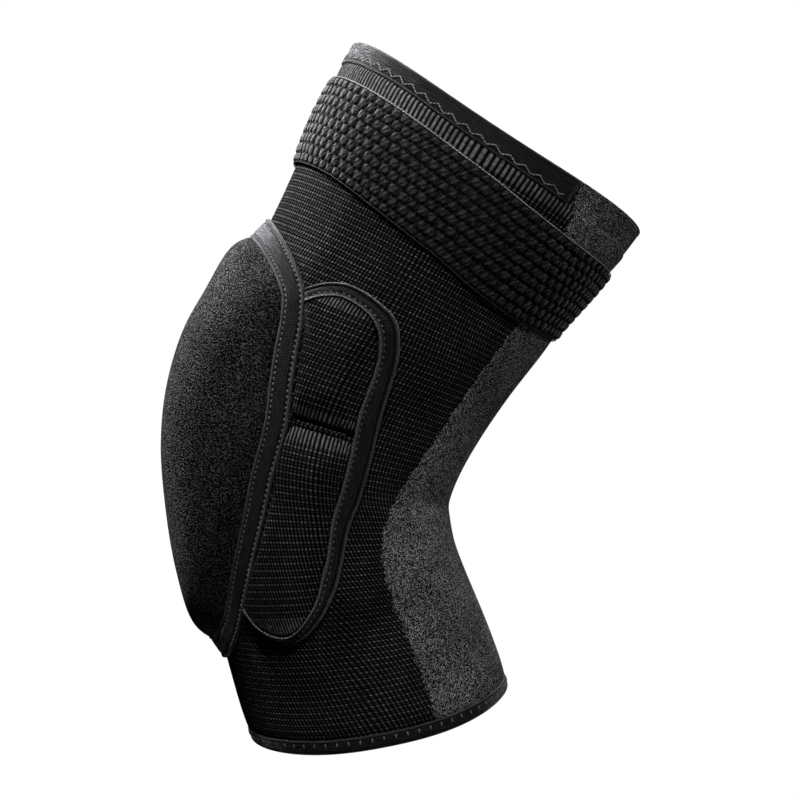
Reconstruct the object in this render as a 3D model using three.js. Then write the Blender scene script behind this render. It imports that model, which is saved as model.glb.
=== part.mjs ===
/**
 * Padded knee sleeve in its worn form: a knitted tube round a knee that is bent by about 43 degrees.
 *
 * Millimetres, +Z up, -X to the front of the knee, -Y to the wearer's left. The origin is the knee's centre.
 * Every piece lies on one leg form. A place on that form has three numbers: the distance along the leg from
 * the shin rim, the angle round it in degrees from the front towards -Y, and the distance out of its face.
 * One degree is close to one millimetre round the leg, so outlines are drawn on that unrolled sheet.
 */
import * as THREE from 'three';

const { degToRad, lerp, smoothstep } = THREE.MathUtils;

// Sections across the leg, from the shin rim to the thigh rim, as the knit's outer face in mm
const SECTIONS = [
  { frontX: -30.0, frontZ: -116.0, backX: 82.5, backZ: -93.0, halfWidth: 54.0, sideDip: -6.5 },
  { frontX: -39.5, frontZ: -82.5, backX: 72.7, backZ: -66.5, halfWidth: 52.5, sideDip: -4.0 },
  { frontX: -51.0, frontZ: -39.0, backX: 59.5, backZ: -34.0, halfWidth: 51.5, sideDip: -1.0 },
  { frontX: -55.0, frontZ: -15.0, backX: 56.5, backZ: -20.5, halfWidth: 52.0, sideDip: 0.0 },
  { frontX: -57.0, frontZ: 8.5, backX: 56.5, backZ: -13.0, halfWidth: 53.0, sideDip: 0.0 },
  { frontX: -55.0, frontZ: 32.5, backX: 61.5, backZ: -0.5, halfWidth: 54.5, sideDip: 0.0 },
  { frontX: -48.0, frontZ: 56.5, backX: 70.5, backZ: 15.0, halfWidth: 56.0, sideDip: 0.0 },
  { frontX: -36.5, frontZ: 77.5, backX: 82.0, backZ: 31.7, halfWidth: 58.0, sideDip: 0.0 },
  { frontX: -19.5, frontZ: 111.0, backX: 96.8, backZ: 50.8, halfWidth: 62.0, sideDip: 0.0 },
  { frontX: -12.5, frontZ: 126.0, backX: 106.0, backZ: 63.7, halfWidth: 64.0, sideDip: 0.0 },
  { frontX: 13.6, frontZ: 184.3, backX: 139.9, backZ: 100.9, halfWidth: 70.0, sideDip: -3.0 },
];
const SQUARENESS = 2.25; // exponent of the section's superellipse, 2 is an ellipse

// Creases pressed into the knit: middle, half length and half width, turn of the crease, and depth
const FOLDS = [
  { along: 45, angle: 100, length: 26, width: 8, turn: 30, depth: 2.2 }, // under the side pocket
  { along: 104, angle: 150, length: 16, width: 9, turn: 0, depth: 1.2 }, // beside the hollow of the knee
  { along: 82, angle: 148, length: 16, width: 8, turn: -12, depth: 0.8 }, // top of the calf
];

// Knit walls
const KNIT_WALL = 2.0;
const SEAM_GAP = 0.4; // between front and rear panel, in degrees
const SEAM = [
  { along: 0, angle: 113 },
  { along: 45, angle: 112 },
  { along: 72, angle: 112 },
  { along: 88, angle: 117 },
  { along: 110, angle: 126 },
  { along: 138, angle: 133 },
  { along: 170, angle: 134 },
  { along: 205, angle: 134 },
  { along: 240, angle: 128 },
  { along: 268, angle: 120 },
];
const PANEL_ROWS = 23;
const FRONT_COLUMNS = 30;
const REAR_COLUMNS = 11;

// Binding tapes folded over the rims
const RIM_TAPE = 1.2; // tape thickness
const RIM_GAP = 0.55;
const RIM_ROLL = KNIT_WALL / 2 + RIM_GAP + RIM_TAPE; // outer radius of the fold over the rim
const TOP_HEM = [
  { angle: 0, drop: 6.6 },
  { angle: 40, drop: 6.0 },
  { angle: 62, drop: 6.2 },
  { angle: 90, drop: 8.4 },
  { angle: 130, drop: 10.8 },
];
const BOTTOM_HEM = 5.5;
const HEM_FOLD = [
  { turn: 0, leg: 1 },
  { turn: 0, leg: 0 },
  { turn: 60, leg: 0 },
  { turn: 120, leg: 0 },
  { turn: 180, leg: 0 },
  { turn: 180, leg: 1 },
];
const TOP_HEM_STEPS = 26;
const BOTTOM_HEM_STEPS = 36;

// Elastic strap round the thigh: its two edges along the leg and the swell of its middle
const STRAP = [
  { angle: 0, low: 218.5, high: 255.5, swell: 1.6 },
  { angle: 45, low: 218.8, high: 255.8, swell: 1.5 },
  { angle: 70, low: 215.6, high: 254.4, swell: 1.2 },
  { angle: 90, low: 210.6, high: 251.6, swell: 1.0 },
  { angle: 110, low: 205.0, high: 247.9, swell: 0.8 },
  { angle: 132, low: 203.2, high: 245.7, swell: 0.7 },
  { angle: 160, low: 205.3, high: 245.7, swell: 0.6 },
  { angle: 180, low: 206.3, high: 246.0, swell: 0.6 },
];
const STRAP_BASE = 0.5;
const STRAP_EDGE = 2.2; // thickness along the strap's edges
const STRAP_STEPS = { across: 4, round: 44 };

// Knee pad: outer edge of its binding, one half
const KNEE_EDGE = [
  { along: 34, angle: 0 },
  { along: 35.5, angle: 20 },
  { along: 44, angle: 38 },
  { along: 64, angle: 55.5 },
  { along: 86, angle: 69 },
  { along: 104, angle: 76 },
  { along: 123, angle: 78.7 },
  { along: 142, angle: 75.2 },
  { along: 156, angle: 71 },
  { along: 168, angle: 66.2 },
  { along: 178, angle: 60 },
  { along: 186, angle: 48.5 },
  { along: 194, angle: 28.5 },
  { along: 197, angle: 0 },
];
const KNEE_BINDING_WIDTH = 8.8;
const KNEE_BINDING = { base: 0.5, top: 2.3 }; // heights over the knit
const KNEE_TIP = { lift: 3.2, from: 45, full: 10 }; // rise of the pad's rim towards the front, by angle
const KNEE_PAD = { base: 0.85, edge: 2.2, crown: 12.6, rings: 6, round: 36 };
const KNEE_PAD_FALL = { side: 3.0, tip: 9.0 }; // powers of the fall from crown to rim
const KNEE_BINDING_STEPS = 48;
const PIECE_GAP = 0.6; // between neighbours on the sheet

// Side pocket with two cells: its edge on the sheet from the top of the knee pad's binding round the rear and
// back to it below, with the width of the tape outside that edge
const POCKET_EDGE = [
  { along: 172.5, angle: 65.5, width: 6.0 },
  { along: 176.5, angle: 70.5, width: 5.8 },
  { along: 178.9, angle: 77.0, width: 5.8 },
  { along: 176.3, angle: 87.0, width: 6.2 },
  { along: 168.0, angle: 92.0, width: 6.4 },
  { along: 154.0, angle: 96.0, width: 6.8 },
  { along: 137.0, angle: 97.8, width: 8.0 },
  { along: 120.0, angle: 99.8, width: 8.2 },
  { along: 104.0, angle: 98.8, width: 8.0 },
  { along: 90.0, angle: 94.5, width: 6.8 },
  { along: 73.0, angle: 90.0, width: 5.2 },
  { along: 56.0, angle: 82.0, width: 4.2 },
  { along: 46.3, angle: 70.0, width: 2.8 },
  { along: 48.8, angle: 59.5, width: 2.4 },
  { along: 56.6, angle: 51.5, width: 2.4 },
];
const POCKET_EDGE_STEPS = 96;
const SPLIT_LOW = 124.5; // the two cells' edges along the split between them
const SPLIT_HIGH = 130.5;
const POCKET_FRONT_GAP = 1.2; // between knee pad binding and pocket
const CELL = { base: 0.6, edge: 1.8, crown: 6.2, rings: 4, round: 20 };
const CELL_FALL = 3.2;
const POCKET_BINDING = { base: 0.5, top: 1.9 };
const POCKET_BINDING_STEPS = 30;

const MATERIALS = {
  blackKnit: new THREE.MeshStandardMaterial({ color: 0x17181a, roughness: 0.85, metalness: 0 }),
  greyKnit: new THREE.MeshStandardMaterial({ color: 0x4b4c4f, roughness: 0.9, metalness: 0 }),
  strapKnit: new THREE.MeshStandardMaterial({ color: 0x1c1d20, roughness: 0.7, metalness: 0 }),
  suede: new THREE.MeshStandardMaterial({ color: 0x222327, roughness: 0.75, metalness: 0 }),
  tape: new THREE.MeshStandardMaterial({ color: 0x1e1f22, roughness: 0.6, metalness: 0 }),
};

/** Value of one column at a place in a table: a cubic through the rows, sloped by each row's neighbours. */
function readTable(rows, key, place, column) {
  const last = rows.length - 1;
  const slope = (i) => {
    const [before, after] = [rows[Math.max(i - 1, 0)], rows[Math.min(i + 1, last)]];
    return (after[column] - before[column]) / (after[key] - before[key]);
  };
  const found = rows.findIndex((row, n) => n > 0 && row[key] > place);
  const i = (found < 0 ? last : found) - 1;
  const step = rows[i + 1][key] - rows[i][key];
  const t = (place - rows[i][key]) / step;
  const from = (1 + 2 * t) * (1 - t) ** 2 * rows[i][column] + t * (1 - t) ** 2 * step * slope(i);
  const to = t * t * (3 - 2 * t) * rows[i + 1][column] + t * t * (t - 1) * step * slope(i + 1);
  return from + to;
}

/** Adds to each section its distance along the leg, measured between the sections' middles. */
function measureAlong(sections) {
  const middle = (row) => new THREE.Vector2(row.frontX + row.backX, row.frontZ + row.backZ).divideScalar(2);
  let along = 0;
  return sections.map((row, i) => {
    if (i > 0) along += middle(row).distanceTo(middle(sections[i - 1]));
    return { ...row, along };
  });
}

const LEG = measureAlong(SECTIONS);
const LEG_LENGTH = LEG[LEG.length - 1].along;

const signedPower = (value, power) => Math.sign(value) * Math.abs(value) ** power;

/** Point of the leg form: a superellipse in the section at this distance along, moved out by `out`. */
function legPoint(along, angle, out) {
  const read = (column) => readTable(LEG, 'along', along, column);
  const front = new THREE.Vector2(read('frontX'), read('frontZ'));
  const back = new THREE.Vector2(read('backX'), read('backZ'));
  const axis = back.clone().sub(front);
  const halfDepth = axis.length() / 2;
  axis.normalize();
  const turn = degToRad(angle);
  const reach = (halfDepth + out) * signedPower(Math.cos(turn), 2 / SQUARENESS);
  const side = (read('halfWidth') + out) * signedPower(Math.sin(turn), 2 / SQUARENESS);
  const dip = read('sideDip') * Math.sin(turn) ** 2;
  const middle = front.add(back).divideScalar(2);
  const x = middle.x - axis.x * reach - axis.y * dip;
  const z = middle.y - axis.y * reach + axis.x * dip;
  return new THREE.Vector3(x, -side, z);
}

/** Angle from the front, the same on both sides of the leg, from 0 to 180. */
const fromFront = (angle) => 180 - Math.abs(180 - Math.abs(angle));

/** How far the folds press the knit in at a place: a soft bell along and across each crease. */
function foldDepth(along, angle) {
  return FOLDS.reduce((sum, fold) => {
    const turn = degToRad(fold.turn);
    const up = along - fold.along;
    const round = fromFront(angle) - fold.angle;
    const lengthwise = (round * Math.cos(turn) + up * Math.sin(turn)) / fold.length;
    const crosswise = (up * Math.cos(turn) - round * Math.sin(turn)) / fold.width;
    return sum + fold.depth * Math.exp(-(lengthwise ** 2) - crosswise ** 2);
  }, 0);
}

/**
 * Closed solid between an inner and an outer surface: place(u, v, side) gives a point, with side 0 for the
 * inner surface and 1 for the outer. `loop` joins the last v to the first, and `pole` makes u = 0 a point.
 */
function solidBetween(stepsU, stepsV, place, { loop = false, pole = false } = {}) {
  const columns = loop ? stepsV : stepsV + 1;
  const corners = [];
  const rowStart = [[], []];
  for (const side of [0, 1]) {
    for (let i = 0; i <= stepsU; i += 1) {
      rowStart[side].push(corners.length);
      const count = pole && i === 0 ? 1 : columns;
      for (let j = 0; j < count; j += 1) corners.push(place(i / stepsU, j / stepsV, side));
    }
  }
  const at = (side, i, j) => rowStart[side][i] + (pole && i === 0 ? 0 : j % columns);
  const index = [];
  const triangle = (a, b, c) => {
    if (a !== b && b !== c && c !== a) index.push(a, b, c);
  };
  const quad = (a, b, c, d) => {
    triangle(a, b, c);
    triangle(a, c, d);
  };
  for (let j = 0; j < stepsV; j += 1) {
    for (let i = 0; i < stepsU; i += 1) {
      quad(at(1, i, j), at(1, i, j + 1), at(1, i + 1, j + 1), at(1, i + 1, j));
      quad(at(0, i, j), at(0, i + 1, j), at(0, i + 1, j + 1), at(0, i, j + 1));
    }
    quad(at(0, 0, j), at(0, 0, j + 1), at(1, 0, j + 1), at(1, 0, j));
    quad(at(0, stepsU, j), at(1, stepsU, j), at(1, stepsU, j + 1), at(0, stepsU, j + 1));
  }
  for (let i = 0; i < stepsU && !loop; i += 1) {
    quad(at(0, i, 0), at(1, i, 0), at(1, i + 1, 0), at(0, i + 1, 0));
    quad(at(0, i, stepsV), at(0, i + 1, stepsV), at(1, i + 1, stepsV), at(1, i, stepsV));
  }
  const geometry = new THREE.BufferGeometry().setFromPoints(corners);
  geometry.setIndex(index);
  geometry.computeVertexNormals();
  return geometry;
}

/** Knit panel between two angles that change along the leg, with the folds pressed into it. */
function knitPanel(columns, top, angles) {
  return solidBetween(PANEL_ROWS, columns, (u, v, side) => {
    const along = lerp(RIM_ROLL, top, u);
    const [from, to] = angles(along);
    const angle = lerp(from, to, v);
    return legPoint(along, angle, (side - 1) * KNIT_WALL - foldDepth(along, angle));
  });
}

const seamAngle = (along) => readTable(SEAM, 'along', along, 'angle');

function frontPanel() {
  return knitPanel(FRONT_COLUMNS, LEG_LENGTH - RIM_ROLL, (along) => {
    const edge = seamAngle(along) - SEAM_GAP / 2;
    return [-edge, edge];
  });
}

function rearPanel() {
  return knitPanel(REAR_COLUMNS, LEG_LENGTH, (along) => {
    const edge = seamAngle(along) + SEAM_GAP / 2;
    return [edge, 360 - edge];
  });
}

/** Tape folded over a rim, with a leg outside and a leg inside: `towards` is 1 at the top rim, -1 below. */
function rimTape(steps, rim, towards, angleAt, dropAt, options) {
  const rows = towards > 0 ? HEM_FOLD : [...HEM_FOLD].reverse();
  return solidBetween(rows.length - 1, steps, (u, v, side) => {
    const { turn, leg } = rows[Math.round(u * (rows.length - 1))];
    const angle = angleAt(v);
    const radius = RIM_ROLL - (1 - side) * RIM_TAPE;
    const rise = radius * Math.sin(degToRad(turn)) - leg * dropAt(angle);
    const out = radius * Math.cos(degToRad(turn)) - KNIT_WALL / 2;
    return legPoint(rim + towards * rise, angle, out);
  }, options);
}

function topBinding() {
  const rim = LEG_LENGTH - RIM_ROLL;
  const end = seamAngle(LEG_LENGTH) - SEAM_GAP / 2;
  const drop = (angle) => readTable(TOP_HEM, 'angle', Math.abs(angle), 'drop');
  return rimTape(TOP_HEM_STEPS, rim, 1, (v) => lerp(-end, end, v), drop);
}

function bottomBinding() {
  return rimTape(BOTTOM_HEM_STEPS, RIM_ROLL, -1, (v) => 360 * v, () => BOTTOM_HEM, { loop: true });
}

/** Strap: a loop between its two edges, thicker along its middle. */
function thighStrap() {
  return solidBetween(STRAP_STEPS.across, STRAP_STEPS.round, (u, v, side) => {
    const angle = 360 * v;
    const read = (column) => readTable(STRAP, 'angle', fromFront(angle), column);
    const along = lerp(read('low'), read('high'), u);
    const swell = read('swell') * (1 - (2 * u - 1) ** 2);
    return legPoint(along, angle, STRAP_BASE + side * (STRAP_EDGE + swell));
  }, { loop: true });
}

/** Loop on the sheet round the knee pad's edge, moved in by `inset`: x is the place along, y the angle. */
function kneeLoop(steps, inset) {
  const point = ({ along, angle }) => new THREE.Vector3(along, angle, 0);
  const leftHalf = [...KNEE_EDGE].reverse().map(point);
  const rightHalf = KNEE_EDGE.slice(1, -1).map(({ along, angle }) => point({ along, angle: -angle }));
  const spline = new THREE.CatmullRomCurve3([...leftHalf, ...rightHalf], true, 'centripetal');
  return Array.from({ length: steps }, (_, i) => {
    const { x, y } = spline.getPointAt(i / steps);
    const tangent = spline.getTangentAt(i / steps);
    return new THREE.Vector2(x - inset * tangent.y, y + inset * tangent.x);
  });
}

/** How much higher the knee pad's rim and the inner edge of its binding are towards the front. */
function tipLift(angle) {
  const { lift, from, full } = KNEE_TIP;
  return lift * (1 - smoothstep(Math.abs(angle), full, from));
}

/** Pad over a closed loop of the sheet: its height falls from the crown at the centre to the rim. */
function padOverLoop(outline, centre, { base, edge, crown, rings }, fallPower, rimLift = () => 0) {
  const round = outline.length;
  return solidBetween(rings, round, (u, v, side) => {
    const rim = outline[Math.round(v * round) % round];
    const spot = centre.clone().lerp(rim, u);
    const fall = u ** fallPower(rim.clone().sub(centre).normalize());
    const out = side === 0 ? base : lerp(crown, edge + rimLift(rim.y), fall);
    return legPoint(spot.x, spot.y, out);
  }, { loop: true, pole: true });
}

function kneePad() {
  const outline = kneeLoop(KNEE_PAD.round, KNEE_BINDING_WIDTH + PIECE_GAP);
  const centre = new THREE.Vector2((KNEE_EDGE[0].along + KNEE_EDGE[KNEE_EDGE.length - 1].along) / 2, 0);
  const power = (towards) => lerp(KNEE_PAD_FALL.side, KNEE_PAD_FALL.tip, towards.x ** 2);
  return padOverLoop(outline, centre, KNEE_PAD, power, tipLift);
}

function kneePadBinding() {
  const inner = kneeLoop(KNEE_BINDING_STEPS, KNEE_BINDING_WIDTH);
  const outer = kneeLoop(KNEE_BINDING_STEPS, 0);
  return solidBetween(2, KNEE_BINDING_STEPS, (u, v, side) => {
    const i = Math.round(v * KNEE_BINDING_STEPS) % KNEE_BINDING_STEPS;
    const spot = inner[i].clone().lerp(outer[i], u);
    const top = KNEE_BINDING.top + (1 - u) * tipLift(spot.y);
    return legPoint(spot.x, spot.y, side === 0 ? KNEE_BINDING.base : top);
  }, { loop: true });
}

const pocketFront = (along) => readTable(KNEE_EDGE, 'along', along, 'angle') + POCKET_FRONT_GAP;

/** Curve along the pocket's edge on the sheet: x is the place along, y the angle and z the tape's width. */
const pocketCurve = new THREE.CatmullRomCurve3(
  POCKET_EDGE.map(({ along, angle, width }) => new THREE.Vector3(along, angle, width)),
);

/** Closed outline of the cell above or below the split: part of the pocket's curve and its front edge. */
function cellOutline(upper) {
  const split = upper ? SPLIT_HIGH : SPLIT_LOW;
  const edge = pocketCurve
    .getSpacedPoints(POCKET_EDGE_STEPS)
    .filter(({ x }) => (upper ? x > split : x < split))
    .map(({ x, y }) => new THREE.Vector3(x, y, 0));
  const [from, to] = upper ? [split, edge[0].x] : [edge[edge.length - 1].x, split];
  const front = Array.from({ length: CELL.round }, (_, i) => {
    const along = lerp(from, to, i / CELL.round);
    return new THREE.Vector3(along, pocketFront(along), 0);
  });
  return new THREE.CatmullRomCurve3([...edge, ...front], true).getSpacedPoints(CELL.round).slice(0, -1);
}

/** Padded cell on the left side, or its mirror image: `hand` is 1 for left and -1 for right. */
function pocketCell(hand, upper) {
  const outline = cellOutline(upper).map(({ x, y }) => new THREE.Vector2(x, hand * y));
  if (hand < 0) outline.reverse();
  const sum = outline.reduce((total, spot) => total.add(spot), new THREE.Vector2());
  const centre = sum.divideScalar(outline.length);
  return padOverLoop(outline, centre, CELL, () => CELL_FALL);
}

/** Tape round the pocket, from the knee pad's binding over the top, down the rear edge and back below. */
function pocketBinding(hand) {
  return solidBetween(2, POCKET_BINDING_STEPS, (u, v, side) => {
    const place = hand > 0 ? v : 1 - v;
    const { x, y, z: width } = pocketCurve.getPointAt(place);
    const tangent = pocketCurve.getTangentAt(place);
    const outward = new THREE.Vector2(tangent.y, -tangent.x).normalize();
    const spot = new THREE.Vector2(x, y).addScaledVector(outward, PIECE_GAP + u * width);
    const angle = Math.max(spot.y, pocketFront(spot.x));
    return legPoint(spot.x, hand * angle, side === 0 ? POCKET_BINDING.base : POCKET_BINDING.top);
  });
}

const sleeve = new THREE.Group();

function addPiece(name, geometry, material) {
  const mesh = new THREE.Mesh(geometry, material);
  mesh.name = name;
  sleeve.add(mesh);
}

addPiece('front_panel', frontPanel(), MATERIALS.blackKnit);
addPiece('rear_panel', rearPanel(), MATERIALS.greyKnit);
addPiece('top_binding', topBinding(), MATERIALS.tape);
addPiece('bottom_binding', bottomBinding(), MATERIALS.tape);
addPiece('thigh_strap', thighStrap(), MATERIALS.strapKnit);
addPiece('knee_pad', kneePad(), MATERIALS.suede);
addPiece('knee_pad_binding', kneePadBinding(), MATERIALS.tape);
for (const [label, hand] of [['left', 1], ['right', -1]]) {
  addPiece(`${label}_upper_pad`, pocketCell(hand, true), MATERIALS.blackKnit);
  addPiece(`${label}_lower_pad`, pocketCell(hand, false), MATERIALS.blackKnit);
  addPiece(`${label}_pad_binding`, pocketBinding(hand), MATERIALS.tape);
}

export default sleeve;
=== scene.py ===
"""Looks of a padded knee sleeve in its worn form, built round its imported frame.

Every piece is a surface over one leg form. A place on that form has three numbers: the distance along the
leg from the shin rim, the angle round it in degrees from the front towards -Y, and the distance out of the
knit's face. The sleeve's tables are in millimetres and degrees. Meshes, camera, lights and floor are in
metres.
"""

import bpy
import numpy as np
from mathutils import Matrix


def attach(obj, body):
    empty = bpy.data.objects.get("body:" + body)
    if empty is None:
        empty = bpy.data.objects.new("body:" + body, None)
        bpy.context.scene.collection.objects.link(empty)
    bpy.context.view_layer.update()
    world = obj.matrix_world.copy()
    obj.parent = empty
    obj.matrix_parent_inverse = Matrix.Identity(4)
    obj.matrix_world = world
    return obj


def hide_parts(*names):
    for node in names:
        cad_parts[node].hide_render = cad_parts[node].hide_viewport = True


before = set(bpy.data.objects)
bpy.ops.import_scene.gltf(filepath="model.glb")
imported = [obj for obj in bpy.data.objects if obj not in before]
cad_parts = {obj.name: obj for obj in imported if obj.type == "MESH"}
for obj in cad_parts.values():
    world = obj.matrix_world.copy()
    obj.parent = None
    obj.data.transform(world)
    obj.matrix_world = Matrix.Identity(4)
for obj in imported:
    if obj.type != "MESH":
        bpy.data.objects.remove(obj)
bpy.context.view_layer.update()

MM = 0.001


def table(columns, *rows):
    """Short table: one array for each named column."""
    return dict(zip(columns.split(), np.array(rows, float).T))


# Leg form: sections from the shin rim to the thigh rim
LEG = table(
    "front_x front_z back_x back_z half_width side_dip",
    (-30.0, -116.0, 82.5, -93.0, 54.0, -6.5),
    (-39.5, -82.5, 72.7, -66.5, 52.5, -4.0),
    (-51.0, -39.0, 59.5, -34.0, 51.5, -1.0),
    (-55.0, -15.0, 56.5, -20.5, 52.0, 0.0),
    (-57.0, 8.5, 56.5, -13.0, 53.0, 0.0),
    (-55.0, 32.5, 61.5, -0.5, 54.5, 0.0),
    (-48.0, 56.5, 70.5, 15.0, 56.0, 0.0),
    (-36.5, 77.5, 82.0, 31.7, 58.0, 0.0),
    (-19.5, 111.0, 96.8, 50.8, 62.0, 0.0),
    (-12.5, 126.0, 106.0, 63.7, 64.0, 0.0),
    (13.6, 184.3, 139.9, 100.9, 70.0, -3.0),
)
SQUARENESS = 2.25
FOLDS = table(
    "along angle length width turn depth",
    (45, 100, 26, 8, 30, 2.2),
    (104, 150, 16, 9, 0, 1.2),
    (82, 148, 16, 8, -12, 0.8),
)
RIM_PULL = {"depth": 1.0, "reach": 9.0}
RIM_SAG = {
    "side": 1.7, "side_power": 6, "side_reach": 14.0,
    "rear": 1.3, "rear_angle": 135.0, "rear_half": 35.0, "rear_reach": 12.0,
}

# Knit walls and the seam between the black and the grey knit
KNIT_WALL = 2.0
SEAM_GAP = 0.12
SEAM = table(
    "along angle",
    (0, 113), (45, 112), (72, 112), (88, 117), (110, 126),
    (138, 133), (170, 134), (205, 134), (240, 128), (268, 120),
)
SEAM_TEETH = {"reach": 0.7, "wander": 0.5, "wave": 11.0}
ROW_STEP = 1.23
FRONT_STEPS = 150
REAR_STEPS = 70
EDGE_STEPS = 5

# Hems folded over the rims
RIM_TAPE = 0.9
RIM_PINCH = {"depth": 0.8, "reach": 1.5, "lead": 0.5}
RIM_WALL = KNIT_WALL - RIM_PINCH["depth"]
RIM_MIDDLE = RIM_WALL / 2 - KNIT_WALL
RIM_SLACK = 0.15
RIM_ROLL = RIM_WALL / 2 + RIM_SLACK + RIM_TAPE
FIRST_ROW = RIM_ROLL + RIM_WALL / 2
TOP_HEM = table("angle drop", (0, 7.7), (40, 7.1), (62, 7.3), (90, 9.5), (130, 11.9))
TOP_HEM_END = 0.4
BOTTOM_HEM = 4.0
# A hem's lip: the bead's height and half width, where a band painted dark as shade lies beside the bead, and
# how pale the bead is.
TOP_LIP = {"height": 0.4, "half": 0.5, "groove": 1.5, "pale": 0.8}
BOTTOM_LIP = {"height": 0.1, "half": 0.25, "groove": 0.75, "pale": 0.4}
LIP_TUCK = {"reach": 0.25, "depth": 0.7 * RIM_TAPE}
HEM_STEPS = {"leg": 20, "crowding": 1.5, "roll": 8, "round": 240}
ZIGZAG = {
    "period": 7.2, "swing": 2.1, "thread": 0.5, "above_lip": 2.7, "lift": 0.1, "end": 2.0, "steps": 12,
}

# Thigh strap: its edges along the leg and the swell of its middle
STRAP = table(
    "angle low high swell",
    (0, 220.3, 255.5, 1.4), (45, 219.9, 255.8, 1.4), (70, 215.6, 254.4, 1.2), (90, 210.6, 251.6, 1.0),
    (110, 205.0, 247.9, 0.8), (132, 203.2, 245.7, 0.7), (160, 205.3, 245.7, 0.6), (180, 206.3, 246.0, 0.6),
)
STRAP_BASE = 0.5
STRAP_EDGE = 2.2
STRAP_ROUNDING = 1.3
STRAP_STEPS = {"across": 91, "inside": 8, "round": 920}
STRAP_THREAD = {"radius": 0.27, "out": 0.9}
BOBBLE = {
    "rows": 9, "round": 92, "height": 0.95, "half_width": 0.42, "half_length": 0.47,
    "square": 2.8, "blunt": 0.35, "edge_fade": (0.4, 1.6),
}
BOBBLE_CHANCE = {"seed": 7, "shift": 0.06, "grow": 0.14, "strand": 0.16}

# Knee pad and the tape round it: the outer edge of the tape, one half
KNEE_EDGE = table(
    "along angle",
    (34, 0), (35.5, 20), (44, 38), (64, 55.5), (86, 69), (104, 76), (123, 78.7),
    (142, 75.2), (156, 71), (168, 66.2), (178, 60), (186, 48.5), (193.3, 28.5), (196, 0),
)
KNEE_TAPE_WIDTH = 8.8
KNEE_TAPE = {
    "base": 0.5, "outer": 1.4, "inner": 2.3, "outer_lip": 0.35, "inner_lip": 0.3, "inner_groove_shade": 1.0,
}
KNEE_TIP = {"lift": 2.7, "from": 45.0, "full": 10.0}
KNEE_PAD = {"base": 0.85, "edge": 2.5, "crown": 11.6, "steps": 97}
KNEE_PAD_FALL = {"side": 3.0, "top": 18.0, "bottom": 16.0}
PAD_GAP = 0.1
PIECE_GAP = 0.35
TAPE_STEPS = {"knee": 420, "pocket": 320, "across": 34}
TAPE_LIP = {"at": 0.55, "half": 0.5, "outer_pale": 0.7}
TAPE_GROOVE = {"at": 1.6, "half": 0.5, "depth": 0.45}
TAPE_ROUNDING = {"reach": 0.2, "depth": 0.6}

# Side pocket: the inner edge of its tape with the tape's width, the rows of its rear side, and two cells
POCKET_EDGE = table(
    "along angle width",
    (172.5, 65.5, 6.0), (176.5, 70.5, 5.8), (178.9, 77, 5.8), (176.3, 87, 6.2), (168, 92, 6.4),
    (154, 96, 6.8), (137, 97.8, 8.0), (120, 99.8, 8.2), (104, 98.8, 8.0), (90, 94.5, 6.8),
    (73, 90, 5.2), (56, 82, 4.2), (46.3, 70, 2.8), (48.8, 59.5, 2.4), (56.6, 51.5, 2.4),
)
POCKET_REAR = slice(2, 12)
POCKET_FRONT_GAP = 1.2
POCKET_TAPE = {
    "base": 0.5, "top": 1.9, "outer_lip": 0.45, "inner_lip": 0.0, "inner_groove_shade": 0.2,
    "full_width": 6.0, "least_share": 0.4,
}
POCKET_LIFT = {"bottom": 2.4, "low": (48.0, 64.0), "top": 2.2, "high": (158.0, 176.0)}
PIPING = 0.28
SPLIT = {"low": 125.3, "high": 129.7}
CELL = {"base": 0.6, "edge": 1.5, "crown": 5.4, "steps": 45}
CELL_FALL = 3.4
CELL_CORNER = 4.0
PAD_TAUT = (0.62, 0.92)

# Stitches, and how many points the fine lines have that pieces and threads are laid along
STITCH = {"length": 1.15, "width": 0.7, "height": 0.7, "taper": 0.92, "lift": 0.1}
STITCH_PITCH = {"knee": 2.3, "pocket": 2.6, "split": 1.9, "hem": 4.9}
HEM_STITCH = {"length": 1.7, "below_edge": 2.0}
POCKET_STITCH = {"sink": 0.2, "split_out": 0.4, "split_end": 1.5}
STITCH_STEPS, STITCH_SIDES = 5, 6
LINE_STEPS = {
    "curve": 60, "strap": 3601, "knee": 720, "pocket": 600, "piping": 500, "cell": 720, "cell_front": 100,
    "split": 60, "zigzag": 2001, "hem": 721, "strap_thread": 720,
}

# Knit gauge: stitches round the whole leg, and one stitch's length along it
GAUGE = {
    "black": {"round": 236, "course": 2.64},
    "rim": {"round": 206},
    "grey": {"round": 360, "course": 2.46},
    "cell": {"round": 300, "course": 2.60},
}
SHIN_KNIT = {"up_to": 70.0, "blend": 8.0, "lean": 0.38, "closer": 0.2, "fewer": 0.14, "fade": (20.0, 110.0)}
THIGH_KNIT = {"crowd": 0.3, "fade": (160.0, 200.0)}
RIM_KNIT_FROM = 234.0
RIM_KNIT_TAUT = (248.0, 254.0)

# Padding swelled by a cloth simulation: the most that a knee pad or a cell may swell
SWELL = {"frames": 20, "pressure": 4.0, "pad": 1.0, "cell": 1.2}
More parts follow.
